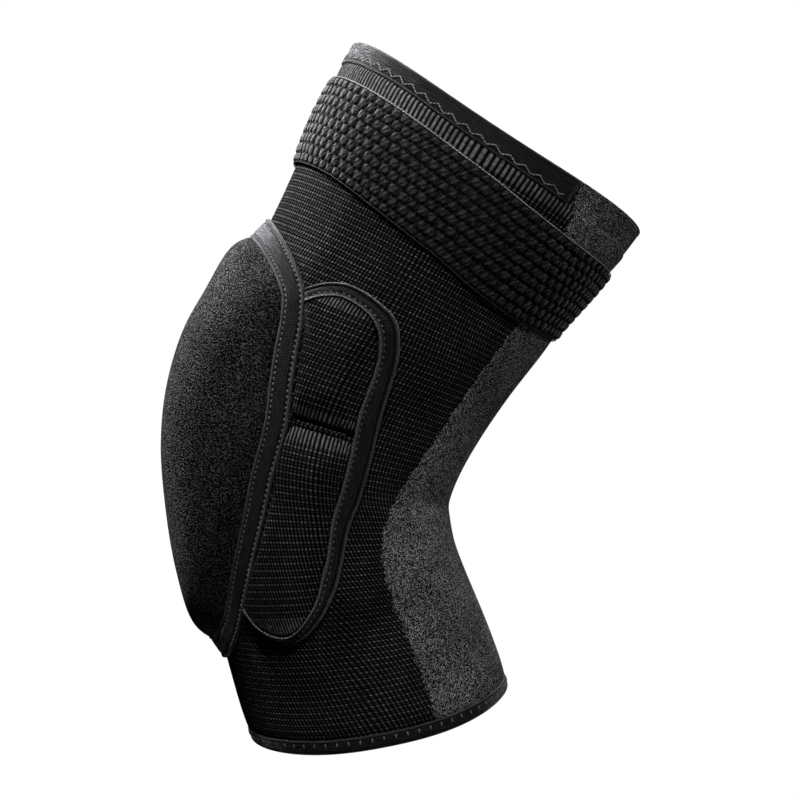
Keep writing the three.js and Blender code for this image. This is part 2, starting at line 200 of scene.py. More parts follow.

# Finishes: how pale each yarn, cover and thread is. The knit and strap gap greys are painted shade, the sheen
# greys are painted sheen, the suede's low grey is partly painted shade in its pits, and the shaded edge
# thread is painted shade.
PALE = {
    "knit_gap_shade": 0.0005, "black_yarn": 0.12, "taut_yarn": 0.16, "grey_gap": 0.001, "grey_fibre": 0.40,
    "strap_gap_shade": 0.0006, "strap_yarn": 0.029, "strap_sheen": 0.20,
    "suede_low": 0.001, "suede_high": 0.056, "suede_sheen": 0.15,
    "tape_low": 0.002, "tape_high": 0.033, "tape_sheen": 0.40, "tape_lip": 0.09,
    "edge_thread": 0.35, "pale_thread": 0.25, "dull_thread": 0.14, "shaded_edge_thread": 0.045,
    "zigzag_thread": 0.25,
}
TINT = (0.98, 0.99, 1.03)
# Painted sheen: how far a surface turns from the eye where its paler grey starts and where it is full
SHEEN_FADE = (0.22, 0.75)
CLOTH_GLOSS = 0.03
KNIT_LOOP = {"rib_power": 1.8, "loop_power": 3.0, "gap": 0.75, "lower_row": 0.21, "taut": 0.95}
FIBRES = {"detail": 3.0, "fuzz_fade": (0.25, 0.75), "cloud_scale": 45.0, "cloud_fade": (0.3, 0.7)}

# A noise is a scale and a detail, and may have a distortion. A fade has two ends. A tone or a roughness is a
# line, with a slope and a start. A bump is a strength and a height in metres.
FINISH = {
    "black_knit": {
        "fuzz_scale": 2400.0, "lit_fade": (0.55, 1.0), "stitch_tone": (0.4, 0.35), "cloud_tone": (0.5, 0.7),
        "fuzz_tone": (0.9, 0.5), "fuzz_height": 0.25, "bump": (1.0, 0.0010), "roughness": (0.2, 0.65),
    },
    "grey_knit": {
        "fuzz_scale": 1700.0, "speck_noise": (2200.0, 1.0, 0.5), "speck_fade": (0.505, 0.565),
        "fuzz_tone": (0.9, 0.1), "cloud_tone": (0.5, 0.75), "knit_height": 0.4,
        "bump": (0.9, 0.0011), "roughness": (0.15, 0.75),
    },
    "strap_knit": {
        "fuzz_scale": 1700.0, "link_at": 0.42, "link_fade": (0.02, 0.055), "link_tone": 0.8,
        "slant_rise": 1.3, "slant_turn": 2.0, "wander_noise": (400.0, 1.0), "wander": 0.8,
        "crest_fade": (0.4, 0.95), "strand_tone": (0.6, 0.4), "fuzz_tone": (0.9, 0.5), "fuzz_height": 0.9,
        "bump": (0.8, 0.0009), "roughness": (0.2, 0.55),
    },
    "pad_suede": {
        "fuzz_scale": 2300.0, "pebble_noise": (1500.0, 0.0), "pebble_fade": (0.32, 0.74), "nap": 0.5,
        "grain_fade": (0.36, 1.5), "cloud_tone": (0.5, 0.75), "bump": (1.0, 0.0012), "roughness": (0.2, 0.65),
    },
    "binding_tape": {
        "fuzz_scale": 1900.0, "ribs": {"Scale": 0.48, "Distortion": 0.8, "Detail": 1.0}, "rib_power": 1.5,
        "streak_stretch": (0.2, 2.2, 1.0), "streak_noise": (0.8, 3.0), "streak_fade": (0.35, 0.7),
        "streak_tone": (0.6, 0.4), "groove_shade_share": 0.85, "groove_shade_pale": 0.3, "lip_tone": (0.8, 0.2),
        "rib_height": 0.8, "bump": (0.8, 0.0005), "roughness": (0.25, 0.55),
    },
    "thread": {
        "fuzz_scale": 2200.0, "twist": 0.62, "twist_tone": (0.4, 0.6), "fuzz_tone": (0.6, 0.4), "gap": 0.1,
        "twist_height": 0.5, "bump": (0.6, 0.0003), "roughness": (0.2, 0.45),
    },
}

# Camera, lights and floor. A light has a name, a place, an aim, a size, a power in watts and a fan in
# degrees.
CAMERA = {"sensor": 36.0, "lens": 82.8, "place": (0.0348, -0.8, 0.0304)}
LIGHTS = (
    ("key", (-0.50, 0.30, 0.78), (-0.02, 0.0, 0.08), 0.12, 3.0, 70),
    ("graze", (-0.30, -0.14, 0.66), (0.0, -0.05, 0.08), 0.10, 0.9, 60),
    ("fill", (0.0, -0.60, 0.70), (0.01, 0.0, 0.09), 0.10, 0.66, 50),
    ("rear", (0.75, -0.25, 0.35), (0.05, 0.0, -0.06), 0.20, 0.24, 50),
    ("far_side", (0.10, 1.20, 0.45), (0.03, 0.0, 0.03), 0.60, 2.0, 70),
)
SURROUNDINGS = 0.01
FLOOR = {
    "level": -0.8, "radius": 1.4, "thick": 0.02, "sides": 64,
    "cloud_scale": 3.0, "pale": (0.72, 0.78), "glow": 0.96, "roughness": 0.8,
}


def cubic(t, start, end, leave, arrive):
    """Cubic from start to end as t goes from 0 to 1, with the slopes that it leaves and arrives by."""
    first = (1 + 2 * t) * (1 - t) ** 2 * start + t * (1 - t) ** 2 * leave
    return first + t**2 * (3 - 2 * t) * end + t**2 * (t - 1) * arrive


def read(rows, key, column, place):
    """Cubic through a column's rows, with each row's slope taken from its two neighbours."""
    knots, values = rows[key], rows[column]
    row = np.arange(len(knots))
    before, after = np.maximum(row - 1, 0), np.minimum(row + 1, len(knots) - 1)
    slope = (values[after] - values[before]) / (knots[after] - knots[before])
    i = np.clip(np.searchsorted(knots, place, side="right") - 1, 0, len(knots) - 2)
    step = knots[i + 1] - knots[i]
    t = (place - knots[i]) / step
    return cubic(t, values[i], values[i + 1], step * slope[i], step * slope[i + 1])


def unit(vectors):
    """Vectors scaled to length one."""
    return vectors / np.linalg.norm(vectors, axis=-1, keepdims=True)


def lerp(start, end, share):
    """Value between start and end."""
    return start + (end - start) * share


def smooth_step(low, high, value):
    """Soft step from 0 at low to 1 at high."""
    t = np.clip((value - low) / (high - low), 0, 1)
    return t * t * (3 - 2 * t)


def bell(value, middle, half):
    """Soft hump of height one."""
    return np.exp(-(((value - middle) / half) ** 2))


def signed_power(value, power):
    """Power of the size, with the sign kept."""
    return np.sign(value) * np.abs(value) ** power


def path_length(points):
    """Distance along a line of points, from its start to each point."""
    return np.append(0, np.cumsum(np.linalg.norm(np.diff(points, axis=0), axis=1)))


leg_middles = np.stack([LEG["front_x"] + LEG["back_x"], LEG["front_z"] + LEG["back_z"]], -1) / 2
LEG["along"] = path_length(leg_middles)
LEG_LENGTH = LEG["along"][-1]


def leg_point(along, angle, out=0.0):
    """Point of the leg form in metres: a superellipse in the section at this distance along, moved out.

    Near both rims the hems pull the form in by a bell of the distance from the rim. In the same way the top
    rim sags at the sides of the thigh, and the bottom rim beside the calf.
    """
    along, angle, out = np.broadcast_arrays(along, angle, out)
    out = out - RIM_PULL["depth"] * bell(np.minimum(along, LEG_LENGTH - along), 0, RIM_PULL["reach"])
    top = RIM_SAG["side"] * np.sin(np.radians(angle)) ** RIM_SAG["side_power"]
    bottom = RIM_SAG["rear"] * bell(from_front(angle), RIM_SAG["rear_angle"], RIM_SAG["rear_half"])
    top_sag = top * bell(along, LEG_LENGTH, RIM_SAG["side_reach"])
    bottom_sag = bottom * bell(along, 0, RIM_SAG["rear_reach"])
    along = along - top_sag - bottom_sag
    column = {name: read(LEG, "along", name, along) for name in LEG if name != "along"}
    axis_x, axis_z = column["back_x"] - column["front_x"], column["back_z"] - column["front_z"]
    depth = np.hypot(axis_x, axis_z)
    axis_x, axis_z = axis_x / depth, axis_z / depth
    turn = np.radians(angle)
    reach = (depth / 2 + out) * signed_power(np.cos(turn), 2 / SQUARENESS)
    side = (column["half_width"] + out) * signed_power(np.sin(turn), 2 / SQUARENESS)
    dip = column["side_dip"] * np.sin(turn) ** 2
    x = (column["front_x"] + column["back_x"]) / 2 - axis_x * reach - axis_z * dip
    z = (column["front_z"] + column["back_z"]) / 2 - axis_z * reach + axis_x * dip
    return np.stack([x, -side, z], -1) * MM


def leg_normal(along, angle, out=0.0):
    """Direction out of the leg form: across its two sheet directions, each from two points one step apart."""
    nudge = 0.5
    up = leg_point(along + nudge, angle, out) - leg_point(along - nudge, angle, out)
    round_leg = leg_point(along, angle + nudge, out) - leg_point(along, angle - nudge, out)
    return unit(np.cross(round_leg, up))


def sheet_point(spots, out):
    """Points of the leg form at places on the sheet, whose last axis holds the place along and the angle."""
    return leg_point(spots[..., 0], spots[..., 1], out)


def from_front(angle):
    """Angle from the front, the same on both sides of the leg, from 0 to 180."""
    return 180 - np.abs(180 - np.abs(angle))


def fold_depth(along, angle):
    """How far the creases press the knit in: a soft bell along and across each crease."""
    total = 0.0
    for spot, middle, length, width, turn, depth in zip(*FOLDS.values()):
        up, round_leg = along - spot, from_front(angle) - middle
        turn = np.radians(turn)
        lengthwise = (round_leg * np.cos(turn) + up * np.sin(turn)) / length
        crosswise = (up * np.cos(turn) - round_leg * np.sin(turn)) / width
        total = total + depth * np.exp(-(lengthwise**2) - crosswise**2)
    return total


# Meshes


def new_piece(name, points, quads, corner_uv=None, fields=None):
    """Smooth mesh object from points and quads, faced outwards by its signed volume.

    corner_uv holds a place on the sheet for each corner of each quad, and fields one value for each point.
    """
    points = points.reshape(-1, 3)
    corner = points[quads]
    across = np.cross(corner[:, 2] - corner[:, 0], corner[:, 3] - corner[:, 1])
    if np.sum(corner.mean(1) * across) < 0:
        quads = quads[:, ::-1]
        corner_uv = None if corner_uv is None else corner_uv[:, ::-1]
    mesh = bpy.data.meshes.new(name)
    mesh.vertices.add(len(points))
    mesh.vertices.foreach_set("co", points.astype(np.float32).ravel())
    mesh.loops.add(quads.size)
    mesh.loops.foreach_set("vertex_index", quads.astype(np.int32).ravel())
    mesh.polygons.add(len(quads))
    mesh.polygons.foreach_set("loop_start", np.arange(0, quads.size, 4, dtype=np.int32))
    mesh.update(calc_edges=True)
    mesh.shade_smooth()
    if corner_uv is not None:
        mesh.uv_layers.new(name="sheet").data.foreach_set("uv", corner_uv.astype(np.float32).ravel())
    for field, values in (fields or {}).items():
        attribute = mesh.attributes.new(field, "FLOAT", "POINT")
        attribute.data.foreach_set("value", np.asarray(values, np.float32).ravel())
    piece = bpy.data.objects.new(name, mesh)
    bpy.context.scene.collection.objects.link(piece)
    return piece


def swept_quads(steps, profile, closed):
    """Corner numbers (step, profile point) of a skin over profiles that close on themselves.

    A closed path joins its last profile to its first, and an open one has both ends zipped shut.
    """
    i, j = np.meshgrid(np.arange(steps if closed else steps - 1), np.arange(profile), indexing="ij")
    step = np.stack([i, i, i + 1, i + 1], -1).reshape(-1, 4)
    spot = np.stack([j, j + 1, j + 1, j], -1).reshape(-1, 4)
    if not closed:
        k = np.arange(profile // 2 - 1)
        lid = np.stack([k, k + 1, profile - 2 - k, profile - 1 - k], -1)
        step = np.concatenate([step, np.zeros_like(lid), np.full_like(lid, steps - 1)])
        spot = np.concatenate([spot, lid[:, ::-1], lid])
    return step, spot


def swept_piece(name, points, closed=False, sheet=None, fields=None):
    """Piece from a profile carried along a path: points[step, profile].

    sheet has one more row or column than points wherever the surface closes on itself.
    """
    steps, profile = points.shape[:2]
    step, spot = swept_quads(steps, profile, closed)
    uv = None if sheet is None else sheet[step, spot]
    return new_piece(name, points, (step % steps) * profile + spot % profile, uv, fields)


def closed_sheet(u, v):
    """Sheet places for a skin whose profile closes: the profile's first point is repeated at its end."""
    u, v = np.broadcast_arrays(u, v)
    sheet = np.stack([u, v], -1)
    return np.concatenate([sheet, sheet[:, :1]], 1)


def tape_piece(name, points, across, closed, fields=None):
    """Tape or thread with its sheet places: the distance along it in millimetres, and the place across it."""
    length = path_length(points[:, 0]) / MM
    sheet = closed_sheet(length[:, None], across)
    if closed:
        sheet = np.concatenate([sheet, sheet[-1:] + [length[1], 0]])
    return swept_piece(name, points, closed, sheet, fields)


def knit_panel(name, steps, top, edges, gauge, rim_gauge):
    """Knit wall whose profile runs up its outer face, over the top rim and down its inner face.

    edges(along) gives the two angles that bound the panel. Under the hems the wall is pinched, and its rims
    are half circles there. The knit above the strap may have a gauge of its own, and is taut.
    """
    radius = RIM_WALL / 2
    face = np.append(np.arange(FIRST_ROW, top - radius - ROW_STEP / 2, ROW_STEP), top - radius)
    turn = np.pi * np.linspace(0, 1, EDGE_STEPS + 2)[1:-1]
    rim_rise, rim_out = radius * np.sin(turn), RIM_MIDDLE + radius * np.cos(turn)
    along = np.concatenate([face, face[-1] + rim_rise, face[::-1], face[0] - rim_rise])
    out = np.concatenate([0 * face, rim_out, 0 * face - KNIT_WALL, rim_out[::-1]])
    start, end = edges(along)
    angle = lerp(start, end, np.linspace(0, 1, steps)[:, None])
    pinch = np.where(np.arange(len(along)) < len(face), under_hem(along, angle), 0) * RIM_PINCH["depth"]
    points = leg_point(along, angle, out - pinch - fold_depth(along, angle))
    rim_ribs = angle * rim_gauge["round"] / 360
    ribs, courses = knit_count(along, angle, gauge)
    sheet = closed_sheet(np.where(along > RIM_KNIT_FROM, rim_ribs, ribs), courses)
    taut = smooth_step(*RIM_KNIT_TAUT, along) + 0 * angle
    return swept_piece(name, points, sheet=sheet, fields={"taut": taut})


def knit_count(along, angle, gauge):
    """Ribs counted round the leg, and courses counted up it.

    On the shin there are fewer ribs, which lean by a share of a rib in each course, and the courses lie
    closer. On the thigh the ribs crowd toward the sides of the leg.
    """
    blend, up_to = SHIN_KNIT["blend"], SHIN_KNIT["up_to"]
    low = along - blend * np.logaddexp(0, (along - up_to) / blend)
    fewer = SHIN_KNIT["fewer"] * (1 - smooth_step(*SHIN_KNIT["fade"], along))
    crowd = THIGH_KNIT["crowd"] * smooth_step(*THIGH_KNIT["fade"], along)
    turn = angle - crowd / 2 * np.degrees(np.sin(2 * np.radians(angle)))
    ribs = turn * gauge["round"] / 360 * (1 - fewer) + SHIN_KNIT["lean"] * low / gauge["course"]
    return ribs, (along + SHIN_KNIT["closer"] * low) / gauge["course"]


def under_hem(along, angle):
    """How far the knit is pinched by a hem: 0 clear of both hems and 1 under them."""
    low, high = RIM_ROLL + BOTTOM_HEM, LEG_LENGTH - RIM_ROLL - top_drop(angle)
    lead, reach = RIM_PINCH["lead"], RIM_PINCH["reach"]
    above = smooth_step(low - lead, low + reach, along)
    below = 1 - smooth_step(high - reach, high + lead, along)
    return 1 - above * below


def seam_angle(along):
    """Angle of the seam between the black and the grey knit."""
    return read(SEAM, "along", "angle", along)


def jagged_seam(along):
    """The seam with a tooth for each course, where the two yarns interlock: a short wave on a slower one."""
    tooth = np.cos(np.pi * (along - FIRST_ROW) / ROW_STEP)
    wander = np.sin(2 * np.pi * along / SEAM_TEETH["wave"])
    return seam_angle(along) + SEAM_TEETH["reach"] * tooth + SEAM_TEETH["wander"] * wander


def front_edges(along):
    """Angles of the black panel's two edges."""
    edge = jagged_seam(along) - SEAM_GAP / 2
    return -edge, edge


def rear_edges(along):
    """Angles of the grey panel's two edges."""
    edge = jagged_seam(along) + SEAM_GAP / 2
    return edge, 360 - edge


def rim_hem(name, rim, towards, angle, drop, lip, closed):
    """Tape folded over a rim: its profile goes up the outer leg, over the rim, down the inner leg and back.

    The outer leg ends in a rounded lip. `towards` is 1 at the top rim and -1 at the bottom one.
    """
    leg = np.linspace(1, 0, HEM_STEPS["leg"]) ** HEM_STEPS["crowding"]
    turn = np.pi * np.linspace(0, 1, HEM_STEPS["roll"] + 2)[1:-1]
    hang = np.concatenate([leg, 0 * turn, leg[::-1]])
    bend = np.concatenate([0 * leg, turn, 0 * leg + np.pi])
    drop = drop[:, None]
    from_lip = (1 - hang) * drop
    bead = np.where(bend == 0, bell(from_lip, lip["half"], lip["half"]), 0)
    # groove marks a band beside the bead that the tape material paints dark as shade; the hem has no relief
    # there.
    groove = np.where(bend == 0, bell(from_lip, lip["groove"], lip["half"]), 0)
    tuck = np.where(bend == 0, np.exp(-from_lip / LIP_TUCK["reach"]), 0)
    outer = RIM_ROLL + lip["height"] * bead - tuck * LIP_TUCK["depth"]
    inner = RIM_ROLL - RIM_TAPE + 0 * bead
    radius = np.concatenate([outer, inner[:, ::-1]], 1)
    hang, bend = np.append(hang, hang[::-1]), np.append(bend, bend[::-1])
    rise = radius * np.sin(bend) - hang * drop
    out = radius * np.cos(bend) + RIM_MIDDLE
    points = leg_point(rim + towards * rise, angle[:, None], out)
    across = np.where(bend == 0, rise, rise + 2 * RIM_ROLL * bend / np.pi)
    fields = {"lip": np.append(bead * lip["pale"], 0 * bead, 1), "groove": np.append(groove, 0 * bead, 1)}
    return tape_piece(name, points, across, closed, fields)


def top_drop(angle):
    """Height of the top hem's outer leg."""
    return read(TOP_HEM, "angle", "drop", np.clip(from_front(angle), 0, TOP_HEM["angle"][-1]))


def strap_edges(angle):
    """The strap's two edges along the leg, and the swell of its middle."""
    return [read(STRAP, "angle", column, from_front(angle)) for column in ("low", "high", "swell")]


def even_angles(count):
    """Angles that divide the strap's loop into even lengths, found on a fine copy of the loop."""
    fine = np.linspace(0, 360, LINE_STEPS["strap"])
    low, high, _ = strap_edges(fine)
    length = path_length(leg_point((low + high) / 2, fine))
    return np.interp(np.linspace(0, length[-1], count, endpoint=False), length, fine)


def bobble_height(round_leg, row):
    """Height of the strap's bobbles over its ground, from 0 to about 1, by the count round and across it.

    Rows of squarish eggs stand half a step apart from row to row. Each egg is shifted and grown a little by
    chance, and two strands slant over it.
    """
    chance = np.random.default_rng(BOBBLE_CHANCE["seed"]).uniform(-1, 1, (3, BOBBLE["rows"], BOBBLE["round"]))
    line = np.clip(np.floor(row), 0, BOBBLE["rows"] - 1).astype(int)
    turn = round_leg + line % 2 / 2
    shift_x, shift_y, grow = chance[:, line, np.floor(turn).astype(int) % BOBBLE["round"]]
    x = turn % 1 - 0.5 + BOBBLE_CHANCE["shift"] * shift_x
    y = row - line - 0.5 + BOBBLE_CHANCE["shift"] * shift_y
    power = BOBBLE["square"]
    egg = 1 - np.abs(x / BOBBLE["half_width"]) ** power - np.abs(y / BOBBLE["half_length"]) ** power
    strands = 1 - BOBBLE_CHANCE["strand"] * (1 - np.cos(2 * np.pi * (2 * x + y))) / 2
    return np.clip(egg, 0, None) ** BOBBLE["blunt"] * strands * (1 + BOBBLE_CHANCE["grow"] * grow)


def thigh_strap():
    """Strap: a loop whose profile is a band with rounded edges, a swelled middle and bobbles outside."""
    angle = even_angles(STRAP_STEPS["round"])[:, None]
    low, high, swell = strap_edges(angle)
    outside = np.linspace(0, 1, STRAP_STEPS["across"])
    inside = np.linspace(1, 0, STRAP_STEPS["inside"] + 2)[1:-1]
    from_edge = np.minimum(outside, 1 - outside) * (high - low)
    rounding = np.sqrt(1 - (1 - np.clip(from_edge / STRAP_ROUNDING, 0, 1)) ** 2)
    round_leg = np.arange(len(angle) + 1)[:, None] * BOBBLE["round"] / len(angle)
    off_edge = smooth_step(*BOBBLE["edge_fade"], from_edge)
    crest = bobble_height(round_leg[:-1], outside * BOBBLE["rows"]) * off_edge
    body = STRAP_EDGE - STRAP_BASE - BOBBLE["height"] + swell * (1 - (2 * outside - 1) ** 2)
    plain = np.zeros((len(angle), len(inside)))
    out = STRAP_BASE + np.concatenate([body * rounding + BOBBLE["height"] * crest, plain], 1)
    share = np.append(outside, inside)
    points = leg_point(lerp(low, high, share), angle, out)
    sheet = closed_sheet(round_leg, share * BOBBLE["rows"])
    # crest: the bobbles' height, which the strap material also uses to paint shade into the gaps between
    # bobbles.
    fields = {"crest": np.concatenate([crest, plain], 1)}
    return swept_piece("thigh_strap_band", points, True, sheet, fields)


def smooth_curve(corners, count, closed=False):
    """Centripetal Catmull-Rom curve through the corners, at even steps on the sheet.

    An open curve is led past its ends by its first and its last side, each laid out once more.
    """
    if closed:
        before, here, after, beyond = (np.roll(corners, shift, 0) for shift in (1, 0, -1, -2))
    else:
        longer = np.concatenate([2 * corners[:1] - corners[1:2], corners, 2 * corners[-1:] - corners[-2:-1]])
        before, here, after, beyond = longer[:-3], longer[1:-2], longer[2:-1], longer[3:]
    sides = ((before, here), (here, after), (after, beyond))
    lead, gap, trail = (np.linalg.norm((b - a)[:, :2], axis=1)[:, None] ** 0.5 for a, b in sides)
    leave = ((here - before) / lead - (after - before) / (lead + gap) + (after - here) / gap) * gap
    arrive = ((after - here) / gap - (beyond - here) / (gap + trail) + (beyond - after) / trail) * gap
    t = np.linspace(0, 1, LINE_STEPS["curve"], endpoint=False)[:, None]
    here, after, leave, arrive = (part[:, None] for part in (here, after, leave, arrive))
    fine = cubic(t, here, after, leave, arrive).reshape(-1, corners.shape[1])
    return even_line(np.concatenate([fine, after[-1]]), count, closed)


def even_line(line, count, closed=False):
    """The same line on the sheet with points at even steps. A closed one ends a step before its start."""
    length = path_length(line[:, :2])
    at = np.linspace(0, length[-1], count, endpoint=not closed)
    return np.stack([np.interp(at, length, column) for column in line.T], -1)


def knee_loop(count, inset):
    """Loop round the knee pad's edge, moved in: column 0 is the place along and column 1 the angle."""
    left = np.stack([KNEE_EDGE["along"], KNEE_EDGE["angle"]], -1)
    loop = smooth_curve(np.concatenate([left[::-1], left[1:-1] * [1, -1]]), count, closed=True)
    forward = unit(np.roll(loop, -1, 0) - np.roll(loop, 1, 0))
    return loop + inset * np.stack([-forward[:, 1], forward[:, 0]], -1)


def tip_lift(angle):
    """How far the knee pad's rim and the tape's inner edge rise at the pad's two tips."""
    return KNEE_TIP["lift"] * (1 - smooth_step(KNEE_TIP["full"], KNEE_TIP["from"], np.abs(angle)))


def tape_relief(outside, inside, tape):
    """Relief of a sewn tape by the distances from its outer and its inner edge.

    A lip of the tape's own height and then a groove lie along each edge, and both edges are rounded off.
    """
    lips = tape["outer_lip"] * tape_band(outside, TAPE_LIP) + tape["inner_lip"] * tape_band(inside, TAPE_LIP)
    grooves = tape_band(outside, TAPE_GROOVE) + tape_band(inside, TAPE_GROOVE)
    ends = np.exp(-outside / TAPE_ROUNDING["reach"]) + np.exp(-inside / TAPE_ROUNDING["reach"])
    return lips - TAPE_GROOVE["depth"] * grooves - TAPE_ROUNDING["depth"] * ends


def tape_band(from_edge, band):
    """Where a tape's lip or groove is: a bell beside its edge."""
    return bell(from_edge, band["at"], band["half"])


def tape_fields(outside, inside, tape):
    """Where a tape is paler, on its lips, and where it is painted dark as shade, in its grooves."""
    lip = TAPE_LIP["outer_pale"] * tape_band(outside, TAPE_LIP) + tape_band(inside, TAPE_LIP)
    groove = tape_band(outside, TAPE_GROOVE) + tape["inner_groove_shade"] * tape_band(inside, TAPE_GROOVE)
    return {"lip": lip, "groove": groove}


def knee_tape_out(inset, angle):
    """Height of the knee tape's face: it rises towards the pad at the two tips."""
    share = inset / KNEE_TAPE_WIDTH
    relief = tape_relief(inset, KNEE_TAPE_WIDTH - inset, KNEE_TAPE)
    return lerp(KNEE_TAPE["outer"], KNEE_TAPE["inner"], share) + relief + tip_lift(angle) * share


def knee_tape():
    """Tape round the knee pad: a flat profile with raised edges carried round the pad's loop."""
    across = np.linspace(0, KNEE_TAPE_WIDTH, TAPE_STEPS["across"])
    inset = np.append(across, across[::-1])
    spots = np.stack([knee_loop(TAPE_STEPS["knee"], step) for step in inset], 1)
    out = knee_tape_out(inset, spots[..., 1])
    out[:, len(across):] = KNEE_TAPE["base"]
    outside = inset + 0 * out
    fields = tape_fields(outside, KNEE_TAPE_WIDTH - outside, KNEE_TAPE)
    return tape_piece("knee_pad_tape", sheet_point(spots, out), inset, True, fields)


def pad_grid(count):
    """Square grid laid over a disc: each place's distance from the centre and its share of the way round."""
    side = np.linspace(-1, 1, count)
    a, b = np.meshgrid(side, side, indexing="ij")
    far = np.maximum(np.abs(a), np.abs(b))
    safe = np.where(far == 0, 1, far)
    a, b = a / safe, b / safe
    way = np.select(
        [(a >= 1) & (b < 1), (b >= 1) & (a > -1), (a <= -1) & (b > -1)],
        [(b + 1) / 8, (3 - a) / 8, (5 - b) / 8],
        (7 + a) / 8,
    )
    return far, way % 1


def border_of(grid):
    """Border of a square grid of numbers, in order round it."""
    return np.concatenate([grid[0, :-1], grid[:-1, -1], grid[-1, :0:-1], grid[:0:-1, 0]])


def pad_piece(name, loop, centre, sizes, rim_lift, fall):
    """Padded piece over a closed loop on the sheet: a crowned top and a flat back joined along the rim.

    The top falls from the crown at the centre to the rim by a power of the distance, and the power may
    change with the direction. The rim is lifted by rim_lift(loop). The cover is taut at both its ends.
    """
    count = sizes["steps"]
    far, way = pad_grid(count)
    loop = np.concatenate([loop, loop[:1]])
    rim = np.stack([np.interp(way, np.linspace(0, 1, len(loop)), column) for column in loop.T], -1)
    spot = lerp(centre, rim, far[..., None])
    height = lerp(sizes["crown"], sizes["edge"] + rim_lift(rim), far ** fall(unit(rim - centre)))
    top, back = sheet_point(spot, height), sheet_point(spot, sizes["base"])
    grid = np.arange(count * count).reshape(count, count)
    face = np.stack([grid[:-1, :-1], grid[:-1, 1:], grid[1:, 1:], grid[1:, :-1]], -1).reshape(-1, 4)
    border = border_of(grid)
    follow = np.roll(border, -1)
    wall = np.stack([follow, border, border + count**2, follow + count**2], -1)
    quads = np.concatenate([face, face[:, ::-1] + count**2, wall])
    gauge = GAUGE["cell"]
    sheet = np.stack([spot[..., 1] * gauge["round"] / 360, spot[..., 0] / gauge["course"]], -1).reshape(-1, 2)
    toward_end = np.abs(spot[..., 0] - centre[0]) / np.max(np.abs(rim[..., 0] - centre[0]))
    taut = smooth_step(*PAD_TAUT, toward_end).ravel()
    piece = new_piece(
        name, np.concatenate([top.reshape(-1, 3), back.reshape(-1, 3)]), quads,
        np.concatenate([sheet, sheet])[quads], {"taut": np.append(taut, taut)},
    )
    ends = np.empty(len(piece.data.edges) * 2, np.int32)
    piece.data.edges.foreach_get("vertices", ends)
    crease = np.isin(ends, border).reshape(-1, 2).all(1)
    creases = piece.data.attributes.new("crease_edge", "FLOAT", "EDGE")
    creases.data.foreach_set("value", crease.astype(np.float32))
    sewn = piece.vertex_groups.new(name="sewn")
    sewn.add([int(n) for n in np.append(border, np.arange(count**2) + count**2)], 1.0, "REPLACE")
    return piece


def knee_pad():
    """Knee pad inside its tape, steeper at its two tips than at its sides."""
    centre = np.array([(KNEE_EDGE["along"][0] + KNEE_EDGE["along"][-1]) / 2, 0.0])

    def fall(towards):
        tip = np.where(towards[..., 0] > 0, KNEE_PAD_FALL["top"], KNEE_PAD_FALL["bottom"])
        return lerp(KNEE_PAD_FALL["side"], tip, towards[..., 0] ** 2)

    loop = knee_loop(LINE_STEPS["knee"], KNEE_TAPE_WIDTH + PAD_GAP)
    return pad_piece("knee_pad_cover", loop, centre, KNEE_PAD, lambda rim: tip_lift(rim[..., 1]), fall)


def pocket_front(along):
    """Angle of the pocket's front edge, just behind the knee pad's tape."""
    return read(KNEE_EDGE, "along", "angle", along) + POCKET_FRONT_GAP


def pocket_lift(along):
    """How far the pocket's two ends stand off the knit."""
    bottom = POCKET_LIFT["bottom"] * (1 - smooth_step(*POCKET_LIFT["low"], along))
    return bottom + POCKET_LIFT["top"] * smooth_step(*POCKET_LIFT["high"], along)


def pocket_line(count, across):
    """Line on the sheet along the left pocket's tape, and the tape's width there.

    It starts at the inner edge and is moved out by across(width), and stays behind the knee tape.
    """
    edge = smooth_curve(np.stack(list(POCKET_EDGE.values()), -1), count)
    width = edge[:, 2]
    forward = unit(np.gradient(edge[:, :2], axis=0))
    spots = edge[:, :2] + across(width)[:, None] * np.stack([forward[:, 1], -forward[:, 0]], -1)
    spots[:, 1] = np.maximum(spots[:, 1], pocket_front(spots[:, 0]))
    return spots, width


def pocket_tape(name, hand):
    """Tape round the pocket: a profile with a rounded outer lip, from the knee tape over and back to it."""
    share = np.linspace(0, 1, TAPE_STEPS["across"])
    share = np.append(share, share[::-1])
    lines = [pocket_line(TAPE_STEPS["pocket"], lambda width: PIECE_GAP + step * width) for step in share]
    spots = np.stack([spots for spots, _ in lines], 1)
    width = lines[0][1][:, None]
    fine = np.clip(width / POCKET_TAPE["full_width"], POCKET_TAPE["least_share"], 1)
    outside, inside = (1 - share) * width / fine, share * width / fine
    out = POCKET_TAPE["top"] + tape_relief(outside, inside, POCKET_TAPE) * fine
    out += pocket_lift(spots[..., 0]) * (1 - share)
    out[:, len(share) // 2:] = POCKET_TAPE["base"]
    points = sheet_point(spots * [1, hand], out)
    return tape_piece(name, points, share * width, False, tape_fields(outside, inside, POCKET_TAPE))


def cell_loop(upper):
    """Outline of a cell of the left pocket: the pocket's edge beyond the split, and back by its front.

    The corners are rounded by a running mean of the loop.
    """
    edge = pocket_line(LINE_STEPS["pocket"], lambda width: 0 * width)[0]
    split = SPLIT["high"] if upper else SPLIT["low"]
    edge = edge[edge[:, 0] > split] if upper else edge[edge[:, 0] < split]
    ends = (split, edge[0, 0]) if upper else (edge[-1, 0], split)
    along = np.linspace(*ends, LINE_STEPS["cell_front"])
    front = np.stack([along, pocket_front(along)], -1)
    loop = np.concatenate([edge, front, edge[:1]])
    loop = even_line(loop, LINE_STEPS["cell"], closed=True)
    reach = int(CELL_CORNER / path_length(loop)[-1] * len(loop) / 2)
    return sum(np.roll(loop, shift, 0) for shift in range(-reach, reach + 1)) / (2 * reach + 1)


